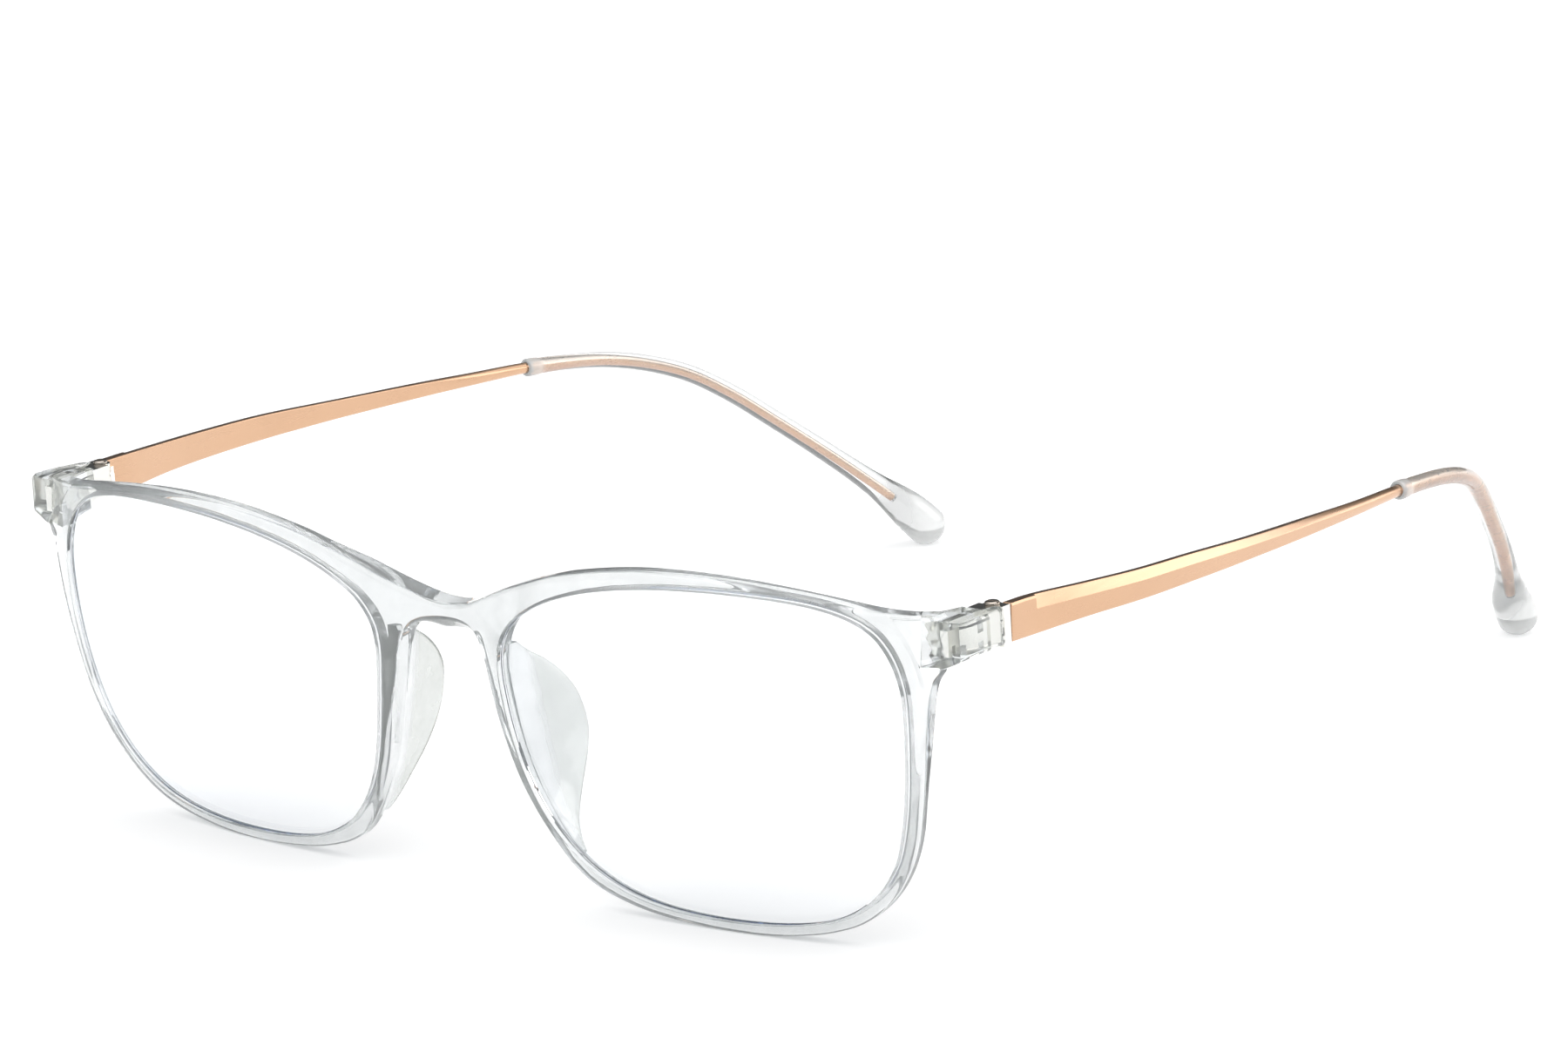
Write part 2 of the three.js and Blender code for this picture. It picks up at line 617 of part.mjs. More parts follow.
// Sleeve mouth [y, radius], then the sleeve radius beyond it [y, radius].
const COLLAR = [[COLLAR_Y, 1.02], [COLLAR_Y + 0.3, 1.15], [91.5, 1.12]];
const SLEEVE_R = [
  [89,1.05], [95,0.98], [102,1], [110,1.08], [120,1.16], [128,1.22], [134,1.38],
  [136.4,1.65], [138,2.1], [139.6,2.5], [141,2.63], [143,2.65],
];

const SLEEVE_STATIONS = [
  ...CORE_STATIONS, 132, 134.5, 136, 137.2, 138.4, 139.6, 140.8, SLEEVE_END_Y,
];
const BORE_STATIONS = [
  COLLAR_Y - 1.2, COLLAR_Y, ...CORE_STATIONS, 133, 136, CORE_END_Y + 0.3,
];

function ellipse(wide, high, sides) {
  return Array.from({ length: sides }, (_, k) => {
    const angle = 2 * Math.PI * k / sides;
    return [wide * Math.cos(angle), high * Math.sin(angle)];
  });
}

function sleeveBore() {
  const grow = 1 / Math.cos(Math.PI / BORE_SIDES); // puts the flats on the size
  return loft(BORE_STATIONS.map(y => {
    const halfT = y <= COLLAR_Y ? MOUTH_HALF_T : interpolate(ARM_HALF_T, y);
    const limit = interpolate(SLEEVE_R, y) - SLEEVE_WALL;
    const high = Math.min(interpolate(ARM_HEIGHT, y) / 2 + SLEEVE_CLEAR, limit);
    return ringAt(y, ellipse((halfT + SLEEVE_CLEAR) * grow, high * grow, BORE_SIDES));
  }));
}

function templeTip() {
  const stations = [...COLLAR, ...SLEEVE_STATIONS.map(y => [y, interpolate(SLEEVE_R, y)])];
  const rings = stations.map(([y, radius]) => (
    ringAt(y, ellipse(radius, radius, SLEEVE_SIDES))));
  for (const share of BULB_STEPS) {
    const radius = BULB_R * Math.sqrt(1 - share * share);
    const advance = BULB_FLATTEN * BULB_R * share - BULB_SINK;
    rings.push(ringAt(SLEEVE_END_Y, ellipse(radius, radius, SLEEVE_SIDES), advance));
  }
  return geometryOf(solid(loft(rings))
    .subtract(solid(sleeveBore()))
    .subtract(box([30, 60], [120, 160], FLOOR_CUT_Z)));
}

// ------------------------------------------------------------- clear moulding

function frontFrame() {
  const block = endBlock();
  const pad = nosePad();
  const groove = lensBody(GROOVE_CLEAR);
  const seat = hingeSeat();
  let moulding = solid(frontPlate());
  for (const part of [block, pad, mirrored(block), mirrored(pad)]) {
    moulding = moulding.add(solid(part));
  }
  for (const cutter of [groove, mirrored(groove), seat, mirrored(seat)]) {
    moulding = moulding.subtract(solid(cutter));
  }
  return geometryOf(moulding.subtract(box([-80, 80], [-20, 30], FLOOR_CUT_Z)));
}

// ------------------------------------------------------------------- assembly

const FINISH = {
  // see-through moulding, lenses and sleeves
  clear: { color: 0xe9eef1, roughness: 0.06, metalness: 0, transparent: true, opacity: 0.42 },
  lens: { color: 0xe4f0fa, roughness: 0.02, metalness: 0, transparent: true, opacity: 0.22 },
  tip: { color: 0xf1ece9, roughness: 0.1, metalness: 0, transparent: true, opacity: 0.5 },
  // hinge metals, washers and arms
  silver: { color: 0xefe9dc, roughness: 0.25, metalness: 1 },
  steel: { color: 0xb9b3a8, roughness: 0.3, metalness: 1 },
  nylon: { color: 0xf2f0ea, roughness: 0.5, metalness: 0 },
  gold: { color: 0xe3b08c, roughness: 0.3, metalness: 1 },
};

function add(group, name, geometry, finish) {
  const material = new THREE.MeshStandardMaterial(FINISH[finish]);
  const mesh = new THREE.Mesh(mergeVertices(geometry, MERGE_TOLERANCE), material);
  mesh.name = name;
  group.add(mesh);
}

function addPair([leftGroup, rightGroup], name, geometry, finish) {
  add(leftGroup, `${name}_left`, geometry, finish);
  add(rightGroup, `${name}_right`, mirrored(geometry), finish);
}

const glasses = new THREE.Group();
glasses.position.set(0, -CENTRE_Y, -FLOOR_Z);
const front = new THREE.Group();
const temples = [new THREE.Group(), new THREE.Group()]; // left, right
glasses.add(front, ...temples);

add(front, 'front_frame', frontFrame(), 'clear');
addPair([front, front], 'lens', lensBody(), 'lens');
addPair([front, front], 'hinge_plate', frontHinge(), 'silver');
addPair([front, front], 'hinge_screw', hingeScrew(), 'steel');
addPair([front, front], 'hinge_washer_upper', hingeWasher(1), 'nylon');
addPair([front, front], 'hinge_washer_lower', hingeWasher(-1), 'nylon');
addPair(temples, 'temple_knuckle', templeHinge(), 'silver');
addPair(temples, 'temple_arm', templeArm(), 'gold');
addPair(temples, 'temple_tip', templeTip(), 'tip');

export default glasses;
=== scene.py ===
"""Spectacles with a clear moulded front, plano lenses and slim rose-gold temples in clear tips.

The row frame is in metres: x runs across the face with the wearer's left at +x, the temples
run back along +y, z is up and the resting plane is z = 0. Shapes are drawn in millimetres in
a drawing frame and moved by SHIFT. Left pieces are built first, right ones are mirrored.
"""

import json
import math

import bmesh
import bpy
import numpy as np
from mathutils import Matrix, Vector
from mathutils.geometry import delaunay_2d_cdt


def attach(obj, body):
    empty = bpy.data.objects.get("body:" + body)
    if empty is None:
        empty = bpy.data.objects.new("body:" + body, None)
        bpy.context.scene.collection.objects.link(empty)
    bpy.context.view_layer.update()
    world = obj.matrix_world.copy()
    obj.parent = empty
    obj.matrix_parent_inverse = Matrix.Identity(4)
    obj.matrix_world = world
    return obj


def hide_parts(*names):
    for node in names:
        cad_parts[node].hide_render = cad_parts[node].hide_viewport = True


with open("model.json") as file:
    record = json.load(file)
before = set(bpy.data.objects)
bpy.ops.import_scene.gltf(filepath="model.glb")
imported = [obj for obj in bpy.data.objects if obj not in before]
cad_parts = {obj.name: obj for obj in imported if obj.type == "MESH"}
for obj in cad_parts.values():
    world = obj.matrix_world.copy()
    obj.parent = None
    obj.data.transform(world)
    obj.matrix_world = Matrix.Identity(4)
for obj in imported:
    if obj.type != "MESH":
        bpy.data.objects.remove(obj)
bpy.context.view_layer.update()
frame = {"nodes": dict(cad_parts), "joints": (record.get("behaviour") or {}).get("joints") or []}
scene = bpy.context.scene

MM = 0.001
# The left hinge is known in both frames, which fixes where the drawing frame sits.
HINGE_DRAWN = np.array([67.0, 12.75, 36.75])
HINGE_Z = HINGE_DRAWN[2]
left_fold = next(j for j in frame["joints"] if j["name"] == "temple_left_fold")
SHIFT = np.array(left_fold["pos_m"]) * 1000 - HINGE_DRAWN

# ---------------------------------------------------------------- measured shapes (mm)

# Outline of the front, half of it: (u across, v up), from the top middle over the left
# side and back to the underside of the bridge.
OUTER = [
    [0,33.81],[2.94,34.3],[5.39,35.28],[7.84,36.41],[10.78,37.68],[12.74,38.42],[14.7,39.1],
    [17.25,39.89],[19.8,40.57],[22.44,41.11],[24.99,41.55],[27.44,41.89],[30.38,42.19],
    [33.32,42.34],[36.26,42.38],[39.2,42.34],[43.61,42.09],[47.53,41.7],[50.96,41.26],
    [53.9,40.82],[56.35,40.42],[58.8,39.98],[61.25,39.64],[63.7,39.49],[66.05,39.49],[66.74,39],
    [66.84,36.26],[66.84,33.91],[66.54,33.03],[65.86,31.95],[65.41,30.38],[65.17,28.91],
    [64.88,26.95],[64.44,24.5],[63.85,21.56],[63.41,19.4],[62.92,17.15],[62.33,14.7],
    [61.54,12.35],[60.66,10.39],[59.78,8.82],[58.6,7.15],[57.23,5.59],[55.86,4.31],[54.19,3.09],
    [52.43,2.16],[49.98,1.32],[47.82,0.78],[45.08,0.34],[42.14,0],[39.2,-0.15],[36.06,-0.15],
    [32.34,0],[28.42,0.34],[25.48,0.73],[23.52,1.13],[21.56,1.67],[19.6,2.35],[17.84,3.23],
    [16.37,4.31],[15.09,5.68],[14.01,7.25],[12.94,9.02],[11.96,10.78],[10.98,12.84],
    [10.09,14.99],[9.41,17.15],[8.82,19.21],[8.23,21.36],[7.69,23.52],[7.25,25.48],[6.86,27.24],
    [6.47,28.62],[5.88,30.09],[4.9,31.26],[3.53,31.95],[1.96,32.19],[0,32.24]]

# Edge of the left lens opening: (u, v), counter-clockwise as seen from the front.
INNER = [
    [9.21,27.44],[9.51,24.5],[9.95,21.56],[10.54,18.62],[11.27,15.88],[12.25,13.23],
    [13.62,10.58],[14.99,8.62],[16.37,7.06],[17.93,5.63],[19.7,4.46],[21.76,3.43],[24.11,2.6],
    [26.66,2.01],[29.4,1.62],[32.63,1.37],[35.97,1.27],[39.2,1.29],[42.14,1.45],[45.08,1.76],
    [47.63,2.21],[49.98,2.84],[52.04,3.67],[53.9,4.75],[55.66,6.08],[57.13,7.55],[58.31,9.11],
    [59.39,10.88],[60.27,13.03],[61.05,15.58],[61.69,18.42],[62.18,21.56],[62.52,24.79],
    [62.67,27.93],[62.57,30.67],[62.03,33.12],[61.05,35.28],[59.68,37.04],[57.82,38.32],
    [55.37,39.3],[52.43,39.98],[49,40.42],[45.08,40.67],[41.16,40.77],[37.24,40.72],
    [33.32,40.52],[30.38,40.23],[27.44,39.84],[24.5,39.3],[21.56,38.61],[18.62,37.68],
    [15.97,36.6],[13.72,35.38],[11.76,34.05],[10.39,32.44],[9.6,30.87],[9.26,29.2]]

# Free edge of the left nose pad, from top to bottom: (x, y, z).
PAD_EDGE = [
    [8.72,0.98,30.28],[8.82,2.65,28.91],[9.15,4.95,27.36],[9.64,6.92,25.51],[10.25,8.41,23.27],
    [10.8,8.94,21.18],[11.32,8.98,18.88],[11.74,8.14,16.19],[12.22,6.62,13.39],
    [12.79,5.25,11.26],[13.48,4.1,9.2],[14.46,3.39,7.39],[15.24,3.04,6.44]]

# Sections of the left end block: y, inner x, outer x, bottom z, top z, bottom z at the outer x.
END_BLOCK = [
    [3.2,63.7,67.2,33.6,39.4,34.1],[3.7,63.7,69.5,33.6,39.45,35.1],
    [4.5,63.8,69.95,33.8,39.5,35.35],[6.2,64.4,69.95,34,39.5,35.35],
    [8.6,65,69.7,34.3,39.4,35.2],[10.6,65.2,69.4,34.4,39.3,35],[12.1,65.3,69.1,34.5,39.2,34.85]]

# Centre line of the left temple: (x, y, z).
ARM_PATH = [
    [67.95,14.05,36.85],[68.15,18,36.77],[69.2,26,36.58],[70.1,35,36.23],[70.3,44,35.91],
    [70.1,53,35.44],[69.6,62,34.97],[68.9,71,34.5],[68,80,33.97],[66.9,89,33.5],[65.8,96,32.85],
    [64.6,102,31.9],[62.8,108,30.25],[60.6,113.4,27.91],[58.2,118.6,24.37],[55.6,124.2,19.72],
    [52.9,129.8,14.88],[50.5,134.2,10.79],[48.6,137.4,7.62],[47.5,139.4,5.5],[46.9,140.9,3.93],
    [46.3,142.3,2.4]]
# Along the temple, each against y: metal height, half of its thickness, radius of the tip.
ARM_HEIGHT = [
    [14,4.3],[18,4.35],[22,4],[26,3.68],[34,3.35],[43,3.05],[49,2.75],[56,2.35],[64,2.05],
    [72,1.85],[79,1.65],[85,1.5],[89,1.4],[95,1.04],[101,0.84],[110,0.74],[120,0.72],[138,0.74]]
ARM_HALF_THICK = [[14,0.65],[89,0.65],[95,0.5],[101,0.36],[108,0.28],[138,0.25]]
TIP_RADIUS = [
    [89,1.05],[95,0.98],[102,1],[110,1.08],[120,1.16],[128,1.22],[134,1.38],
    [136.4,1.65],[138,2.1],[139.6,2.5],[141,2.63],[143,2.65]]

# ---------------------------------------------------------------- curve and loop helpers


def smoothstep(x, start, end):
    t = np.clip((np.asarray(x, float) - start) / (end - start), 0, 1)
    return t * t * (3 - 2 * t)


def catmull(points, closed, per=20):
    """Dense points on a centripetal Catmull-Rom curve, `per` to each span."""
    P = np.asarray(points, float)
    n = len(P)
    out = []
    for i in range(n if closed else n - 1):
        if closed:
            p0, p1, p2, p3 = P[i - 1], P[i], P[(i + 1) % n], P[(i + 2) % n]
        else:
            p1, p2 = P[i], P[i + 1]
            p0 = P[i - 1] if i > 0 else 2 * p1 - p2
            p3 = P[i + 2] if i + 2 < n else 2 * p2 - p1
        d0, d1, d2 = (max(np.linalg.norm(b - a) ** 0.5, 1e-6)
                      for a, b in ((p0, p1), (p1, p2), (p2, p3)))
        t1 = ((p1 - p0) / d0 - (p2 - p0) / (d0 + d1) + (p2 - p1) / d1) * d1
        t2 = ((p2 - p1) / d1 - (p3 - p1) / (d1 + d2) + (p3 - p2) / d2) * d1
        for t in np.arange(per) / per:
            out.append(p1 + t1 * t + (-3 * p1 + 3 * p2 - 2 * t1 - t2) * t * t
                       + (2 * p1 - 2 * p2 + t1 + t2) * t ** 3)
    if not closed:
        out.append(P[-1])
    return np.array(out)


def resample(points, n, closed):
    """n points evenly spaced along the smooth curve through the given ones."""
    curve = catmull(points, closed)
    if closed:
        curve = np.vstack([curve, curve[:1]])
    length = np.r_[0, np.cumsum(np.linalg.norm(np.diff(curve, axis=0), axis=1))]
    at = np.linspace(0, length[-1], n + 1 if closed else n)
    if closed:
        at = at[:-1]
    return np.stack([np.interp(at, length, curve[:, k]) for k in range(curve.shape[1])], 1)


def hann(n):
    kernel = np.hanning(n)
    return kernel / kernel.sum()


def soft_table(table):
    """A table with its corners rounded off."""
    a = np.array(table, float)
    x = np.linspace(a[0, 0], a[-1, 0], 600)
    y = np.interp(x, a[:, 0], a[:, 1])
    padded = np.r_[2 * y[0] - y[20:0:-1], y, 2 * y[-1] - y[-2:-22:-1]]
    return np.stack([x, np.convolve(padded, hann(41), "valid")], 1)


def look_up(table, x):
    return float(np.interp(x, table[:, 0], table[:, 1]))


def offset(loop, distance):
    """A counter-clockwise loop moved outwards by a distance."""
    t = np.roll(loop, -1, 0) - np.roll(loop, 1, 0)
    t /= np.linalg.norm(t, axis=1)[:, None]
    return loop + distance * np.stack([t[:, 1], -t[:, 0]], 1)


CHUNK = 1500                               # points handled at once, to limit memory


def distance_to(loop, points):
    a, b = loop, np.roll(loop, -1, 0)
    ab = b - a
    length2 = (ab ** 2).sum(1)
    out = np.empty(len(points))
    for i in range(0, len(points), CHUNK):
        p = points[i:i + CHUNK, None]
        t = np.clip(((p - a) * ab).sum(2) / length2, 0, 1)
        out[i:i + CHUNK] = np.sqrt((((a + t[..., None] * ab) - p) ** 2).sum(2).min(1))
    return out


def inside(loop, points):
    a, b = loop, np.roll(loop, -1, 0)
    out = np.empty(len(points), bool)
    for i in range(0, len(points), CHUNK):
        px, py = points[i:i + CHUNK, :1], points[i:i + CHUNK, 1:]
        crosses = (a[:, 1] > py) != (b[:, 1] > py)
        with np.errstate(divide="ignore", invalid="ignore"):
            x = a[:, 0] + (py - a[:, 1]) * (b[:, 0] - a[:, 0]) / (b[:, 1] - a[:, 1])
        out[i:i + CHUNK] = (crosses & (px < x)).sum(1) % 2 == 1
    return out


def circle(radius, n):
    a = np.linspace(0, 2 * math.pi, n, endpoint=False)
    return np.stack([radius * np.cos(a), radius * np.sin(a)], 1)


def fillet(polygon, radii, segments):
    """A closed polygon with rounded corners, always with the same number of points."""
    P = np.array(polygon, float)
    out = []
    for i, p in enumerate(P):
        before, after = P[i - 1] - p, P[(i + 1) % len(P)] - p
        long1, long2 = np.linalg.norm(before), np.linalg.norm(after)
        u, w = before / long1, after / long2
        half = math.acos(np.clip(u @ w, -1, 1)) / 2
        r = min(radii[i], 0.45 * min(long1, long2) * math.tan(half))
        cut = r / math.tan(half)
        centre = p + (u + w) / np.linalg.norm(u + w) * (r / math.sin(half))
        s, e = p + u * cut - centre, p + w * cut - centre
        cosine = (s @ e) / (np.linalg.norm(s) * np.linalg.norm(e))
        span = math.acos(np.clip(cosine, -1, 1))
        for k in range(segments + 1):
            t = k / segments
            arm = math.sin((1 - t) * span) * s + math.sin(t * span) * e
            out.append(centre + arm / math.sin(span))
    return np.array(out)


# ---------------------------------------------------------------- mesh helpers


def band(first, second):
    """Quads between two closed rows of vertex numbers."""
    return np.stack([first, np.roll(first, -1), np.roll(second, -1), second], 1).tolist()


def bands(rows):
    return [quad for a, b in zip(rows[:-1], rows[1:]) for quad in band(a, b)]


def fan(centre, row):
    return np.stack([np.full(len(row), centre), row, np.roll(row, -1)], 1).tolist()


def mesh_object(name, verts, faces):
    mesh = bpy.data.meshes.new(name)
    mesh.from_pydata(np.asarray(verts, float).tolist(), [], faces)
    mesh.validate()
    bm = bmesh.new()
    bm.from_mesh(mesh)
    bmesh.ops.recalc_face_normals(bm, faces=bm.faces)
    bm.to_mesh(mesh)
    bm.free()
    return link_object(name, mesh)


def link_object(name, data):
    ob = bpy.data.objects.new(name, data)
    scene.collection.objects.link(ob)
    return ob


def loft(name, rings):
    """A closed solid through equal rings."""
    R = np.array(rings, float)
    m, n = R.shape[:2]
    rows = np.arange(m * n).reshape(m, n)
    verts = np.vstack([R.reshape(-1, 3), R[0].mean(0), R[-1].mean(0)])
    return mesh_object(name, verts, bands(rows) + fan(m * n, rows[0]) + fan(m * n + 1, rows[-1]))


def box(name, x0, x1, y0, y1, z0, z1):
    verts = [(x, y, z) for x in (x0, x1) for y in (y0, y1) for z in (z0, z1)]
    faces = [(0, 1, 3, 2), (4, 6, 7, 5), (0, 4, 5, 1), (2, 3, 7, 6), (0, 2, 6, 4), (1, 5, 7, 3)]
    return mesh_object(name, verts, faces)


def mirrored(ob, name):
    mesh = ob.data.copy()
    mesh.transform(Matrix.Scale(-1, 4, (1, 0, 0)))
    mesh.flip_normals()
    return link_object(name, mesh)


def boolean(target, tool, operation):
    cut = target.modifiers.new("cut", "BOOLEAN")
    cut.operation, cut.object = operation, tool
    # The quick solver gives an almost empty mesh if an input isn't manifold.
    for solver in ("MANIFOLD", "EXACT"):
        cut.solver = solver
        bpy.context.view_layer.update()
        evaluated = target.evaluated_get(bpy.context.evaluated_depsgraph_get())
        mesh = bpy.data.meshes.new_from_object(evaluated)
        if len(mesh.polygons) >= 10:
            break
    target.modifiers.clear()
    target.data = mesh
    bpy.data.objects.remove(tool)


def finish_piece(ob, material, body, replaced, sharp_angle, weighted=True):
    """From drawing millimetres to metres in the row frame, with its material and body."""
    mesh = ob.data
    mesh.transform(Matrix.Translation(Vector(SHIFT)))
    co = np.zeros(len(mesh.vertices) * 3)
    mesh.vertices.foreach_get("co", co)
    co = co.reshape(-1, 3)
    co[:, 2] = np.maximum(co[:, 2], 0)            # stands flat on the resting plane
    mesh.vertices.foreach_set("co", (co * MM).ravel())
    mesh.update()
    bm = bmesh.new()
    bm.from_mesh(mesh)
    bmesh.ops.remove_doubles(bm, verts=bm.verts, dist=2e-7)
    bmesh.ops.dissolve_degenerate(bm, edges=bm.edges, dist=1e-7)
    bm.to_mesh(mesh)
    bm.free()
    mesh.materials.clear()
    mesh.materials.append(material)
    mesh.shade_smooth()
    mesh.set_sharp_from_angle(angle=math.radians(sharp_angle))
    if weighted:
        normals = ob.modifiers.new("normals", "WEIGHTED_NORMAL")
        normals.keep_sharp = True
        normals.weight = 50
    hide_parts(replaced)
    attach(ob, body)


# ---------------------------------------------------------------- surface of the front

RIM_DEPTH, BRIDGE_DEPTH = 2.4, 3.3
TILT = math.radians(4.46)                  # the top leans forward
TILT_COS, TILT_SIN = math.cos(TILT), math.sin(TILT)
# y of the front face: linear and square terms in |u|, square term in v about a middle height
CURVE_LIN, CURVE_QUAD, CURVE_VERT, CURVE_MID_V = -0.20686, 0.0042614, 0.0059326, 24.7
BRIDGE_BLEND_U, BRIDGE_SET_BACK = 9.8, 0.74
OUTER_ROUND, HOLE_ROUND = 0.55, 0.14       # rounding of the outer and the opening edges
GROOVE_DEPTH = 1.2                         # middle of the lens groove, behind the front face

outline = resample(OUTER + [[-u, v] for u, v in OUTER[-2:0:-1]], 1180, True)[::-1]
left_hole = resample(INNER, 480, True)
right_hole = (left_hole * [-1, 1])[::-1]


def front_depth(u, v):
    a = np.abs(u)
    far = CURVE_LIN * a + CURVE_QUAD * a * a
    b = BRIDGE_BLEND_U
    t = np.clip(a / b, 0, 1)
    y1, slope = CURVE_LIN * b + CURVE_QUAD * b * b, (CURVE_LIN + 2 * CURVE_QUAD * b) * b
    arch = ((2 * t ** 3 - 3 * t ** 2 + 1) * BRIDGE_SET_BACK + (3 * t ** 2 - 2 * t ** 3) * y1
            + (t ** 3 - t ** 2) * slope)
    return np.where(a >= b, far, arch) + CURVE_VERT * (v - CURVE_MID_V) ** 2


def place(u, v, depth):
    """Drawing-frame point for (u, v) at a depth behind the front face."""
    u, v = np.asarray(u, float), np.asarray(v, float)
    y = front_depth(u, v) + depth
    return np.stack([u, y * TILT_COS - v * TILT_SIN, v * TILT_COS + y * TILT_SIN], -1)


def rim_depth(u):
    return BRIDGE_DEPTH + (RIM_DEPTH - BRIDGE_DEPTH) * smoothstep(np.abs(u), 8, 17)


def rounding(gap, radius):
    """How far a rounded edge falls back, at a gap in from the loop."""
    q = np.clip(gap, 0, radius)
    return radius - np.sqrt(np.maximum(0, radius * radius - (radius - q) ** 2))


def place_arched(u, v, depth):
    """Like place, with the bridge's underside sloping down towards the back."""
    near = 1 - smoothstep(np.abs(u), 2.2, 6.2)
    drop = 2.3 * (depth / rim_depth(u)) * near * (1 - smoothstep(v, 32.45, 33.5))
    return place(u, v - drop, depth)


# ---------------------------------------------------------------- clear moulding

ROUND_ANGLES = np.radians([0, 14, 28, 42, 56, 72, 90])
# The rim stands proud of the outer end by a small step with a fine line in it.
STEP_GAPS = (2.3, 2.44, 2.5, 2.58, 2.66, 2.72, 2.86)     # mesh rows, out from the opening
STEP_START, STEP_END, STEP_HEIGHT = 2.44, 2.72, 0.3
LINE_GAP, LINE_WIDTH, LINE_DEPTH = 2.6, 0.1, 0.16
EDGE_FALL, EDGE_FALL_WIDTH = 0.042, 0.8    # slight fall of the front face towards its edges
GRID_STEP, GRID_CLEAR, STEP_CLEAR = 0.75, 0.3, 0.4
# Lens groove: (out from the opening, depth)
GROOVE = [(0, 0.98), (0.22, 1.18), (0.24, GROOVE_DEPTH), (0.22, 1.22), (0, 1.42)]


def inside_plastic(points):
    return inside(outline, points) & ~inside(left_hole, points) & ~inside(right_hole, points)


def gaps_to_edges(points):
    """Distance to the outline, and to the nearer lens opening."""
    holes = np.minimum(distance_to(left_hole, points), distance_to(right_hole, points))
    return [distance_to(outline, points), holes]


def face_grid(step_points):
    """Staggered points over the face, clear of the edges and of the step."""
    xs, ys = np.meshgrid(np.arange(0.0, 67.2, GRID_STEP), np.arange(-0.5, 42.8, GRID_STEP * 0.866))
    xs = xs + (np.arange(xs.shape[0]) % 2)[:, None] * GRID_STEP / 2
    grid = np.stack([xs.ravel(), ys.ravel()], 1)
    grid = np.vstack([grid, grid[grid[:, 0] > 0.01] * [-1, 1]])
    grid = grid[inside_plastic(grid)]
    out_gap, hole_gap = gaps_to_edges(grid)
    grid = grid[(hole_gap > HOLE_ROUND + GRID_CLEAR) & (out_gap > OUTER_ROUND + GRID_CLEAR)]
    near2 = ((grid[:, None] - step_points[None]) ** 2).sum(2).min(1)
    return grid[near2 > STEP_CLEAR ** 2]


def front_moulding():
    points, edges, known = [], [], []      # known: which edge a ring point follows, its gap

    def rounded_edge(loop, which, radius, direction):
        """Rings over a rounded edge; gives the number of the first point."""
        first = len(points)
        for angle in ROUND_ANGLES:
            gap = radius * (1 - math.cos(angle))
            start, m = len(points), len(loop)
            points.extend(offset(loop, direction * gap))
            known.extend([(which, gap)] * m)
            edges.extend((start + i, start + (i + 1) % m) for i in range(m))
        return first

    outline_start = rounded_edge(outline, 0, OUTER_ROUND, -1)
    hole_starts = [rounded_edge(hole, 1, HOLE_ROUND, 1) for hole in (left_hole, right_hole)]
    step_points = []
    for hole, side in ((left_hole, 1), (right_hole, -1)):
        for gap in STEP_GAPS:
            p = offset(hole, gap)
            p = p[(p[:, 0] * side > 50) & (p[:, 1] > 18)]
            p = p[inside(outline, p)]
            step_points.append(p[distance_to(outline, p) > OUTER_ROUND + 0.12])
    step_points = np.vstack(step_points)
    points.extend(step_points)
    points.extend(face_grid(step_points))

    flat, _, tris, origins, _, _ = delaunay_2d_cdt(
        [Vector(p) for p in points], edges, [], 0, 1e-7, True)
    flat = np.array([tuple(p) for p in flat])
    tris = np.array([tuple(f) for f in tris if len(f) == 3])
    tris = tris[inside_plastic(flat[tris].mean(1))]
    gaps = gaps_to_edges(flat)
    new_number = {}
    for i, sources in enumerate(origins):
        for k in sources:
            new_number[k] = i
            if k < len(known):
                which, gap = known[k]
                gaps[which][i] = min(gaps[which][i] + 0.02, gap)
    out_gap, hole_gap = gaps

    u, v = flat[:, 0], flat[:, 1]
    end = smoothstep(np.abs(u), 53, 58) * smoothstep(v, 17, 24)
    step = STEP_HEIGHT * smoothstep(hole_gap, STEP_START, STEP_END) * end
    inward = np.minimum(out_gap - OUTER_ROUND, hole_gap - HOLE_ROUND)
    fall = EDGE_FALL * (1 - smoothstep(inward, 0, EDGE_FALL_WIDTH))
    line = (LINE_DEPTH * np.exp(-((hole_gap - LINE_GAP) / LINE_WIDTH) ** 2) * end
            * smoothstep(out_gap, OUTER_ROUND, OUTER_ROUND + 0.3))
    rounded = rounding(out_gap, OUTER_ROUND) + rounding(hole_gap, HOLE_ROUND)
    front = rounded + step * smoothstep(out_gap, 0, OUTER_ROUND) + line + fall
    front = np.where(out_gap < 1e-6, OUTER_ROUND, np.where(hole_gap < 1e-6, HOLE_ROUND, front))
    n = len(flat)
    verts = [place_arched(u, v, front), place_arched(u, v, rim_depth(u) - rounded)]
    faces = tris.tolist() + (tris[:, [0, 2, 1]] + n).tolist()

    def wall(loop, start, rows):
        """Joins front and back along a loop, through rows of (outward offset, depth)."""
        row = np.array([new_number[start + i] for i in range(len(loop))])
        numbers = [row]
        for distance, depth in rows:
            p = offset(loop, distance)
            numbers.append(sum(map(len, verts)) + np.arange(len(loop)))
            verts.append(place_arched(p[:, 0], p[:, 1], depth))
        faces.extend(bands(numbers + [row + n]))

    straight = rim_depth(outline[:, 0]) - 2 * OUTER_ROUND
    wall(outline, outline_start, [(0.0, OUTER_ROUND + straight * f) for f in (0.33, 0.67)])
    for hole, start in zip((left_hole, right_hole), hole_starts):
        wall(hole, start, GROOVE)
    return mesh_object("front_moulding", np.vstack(verts), faces)


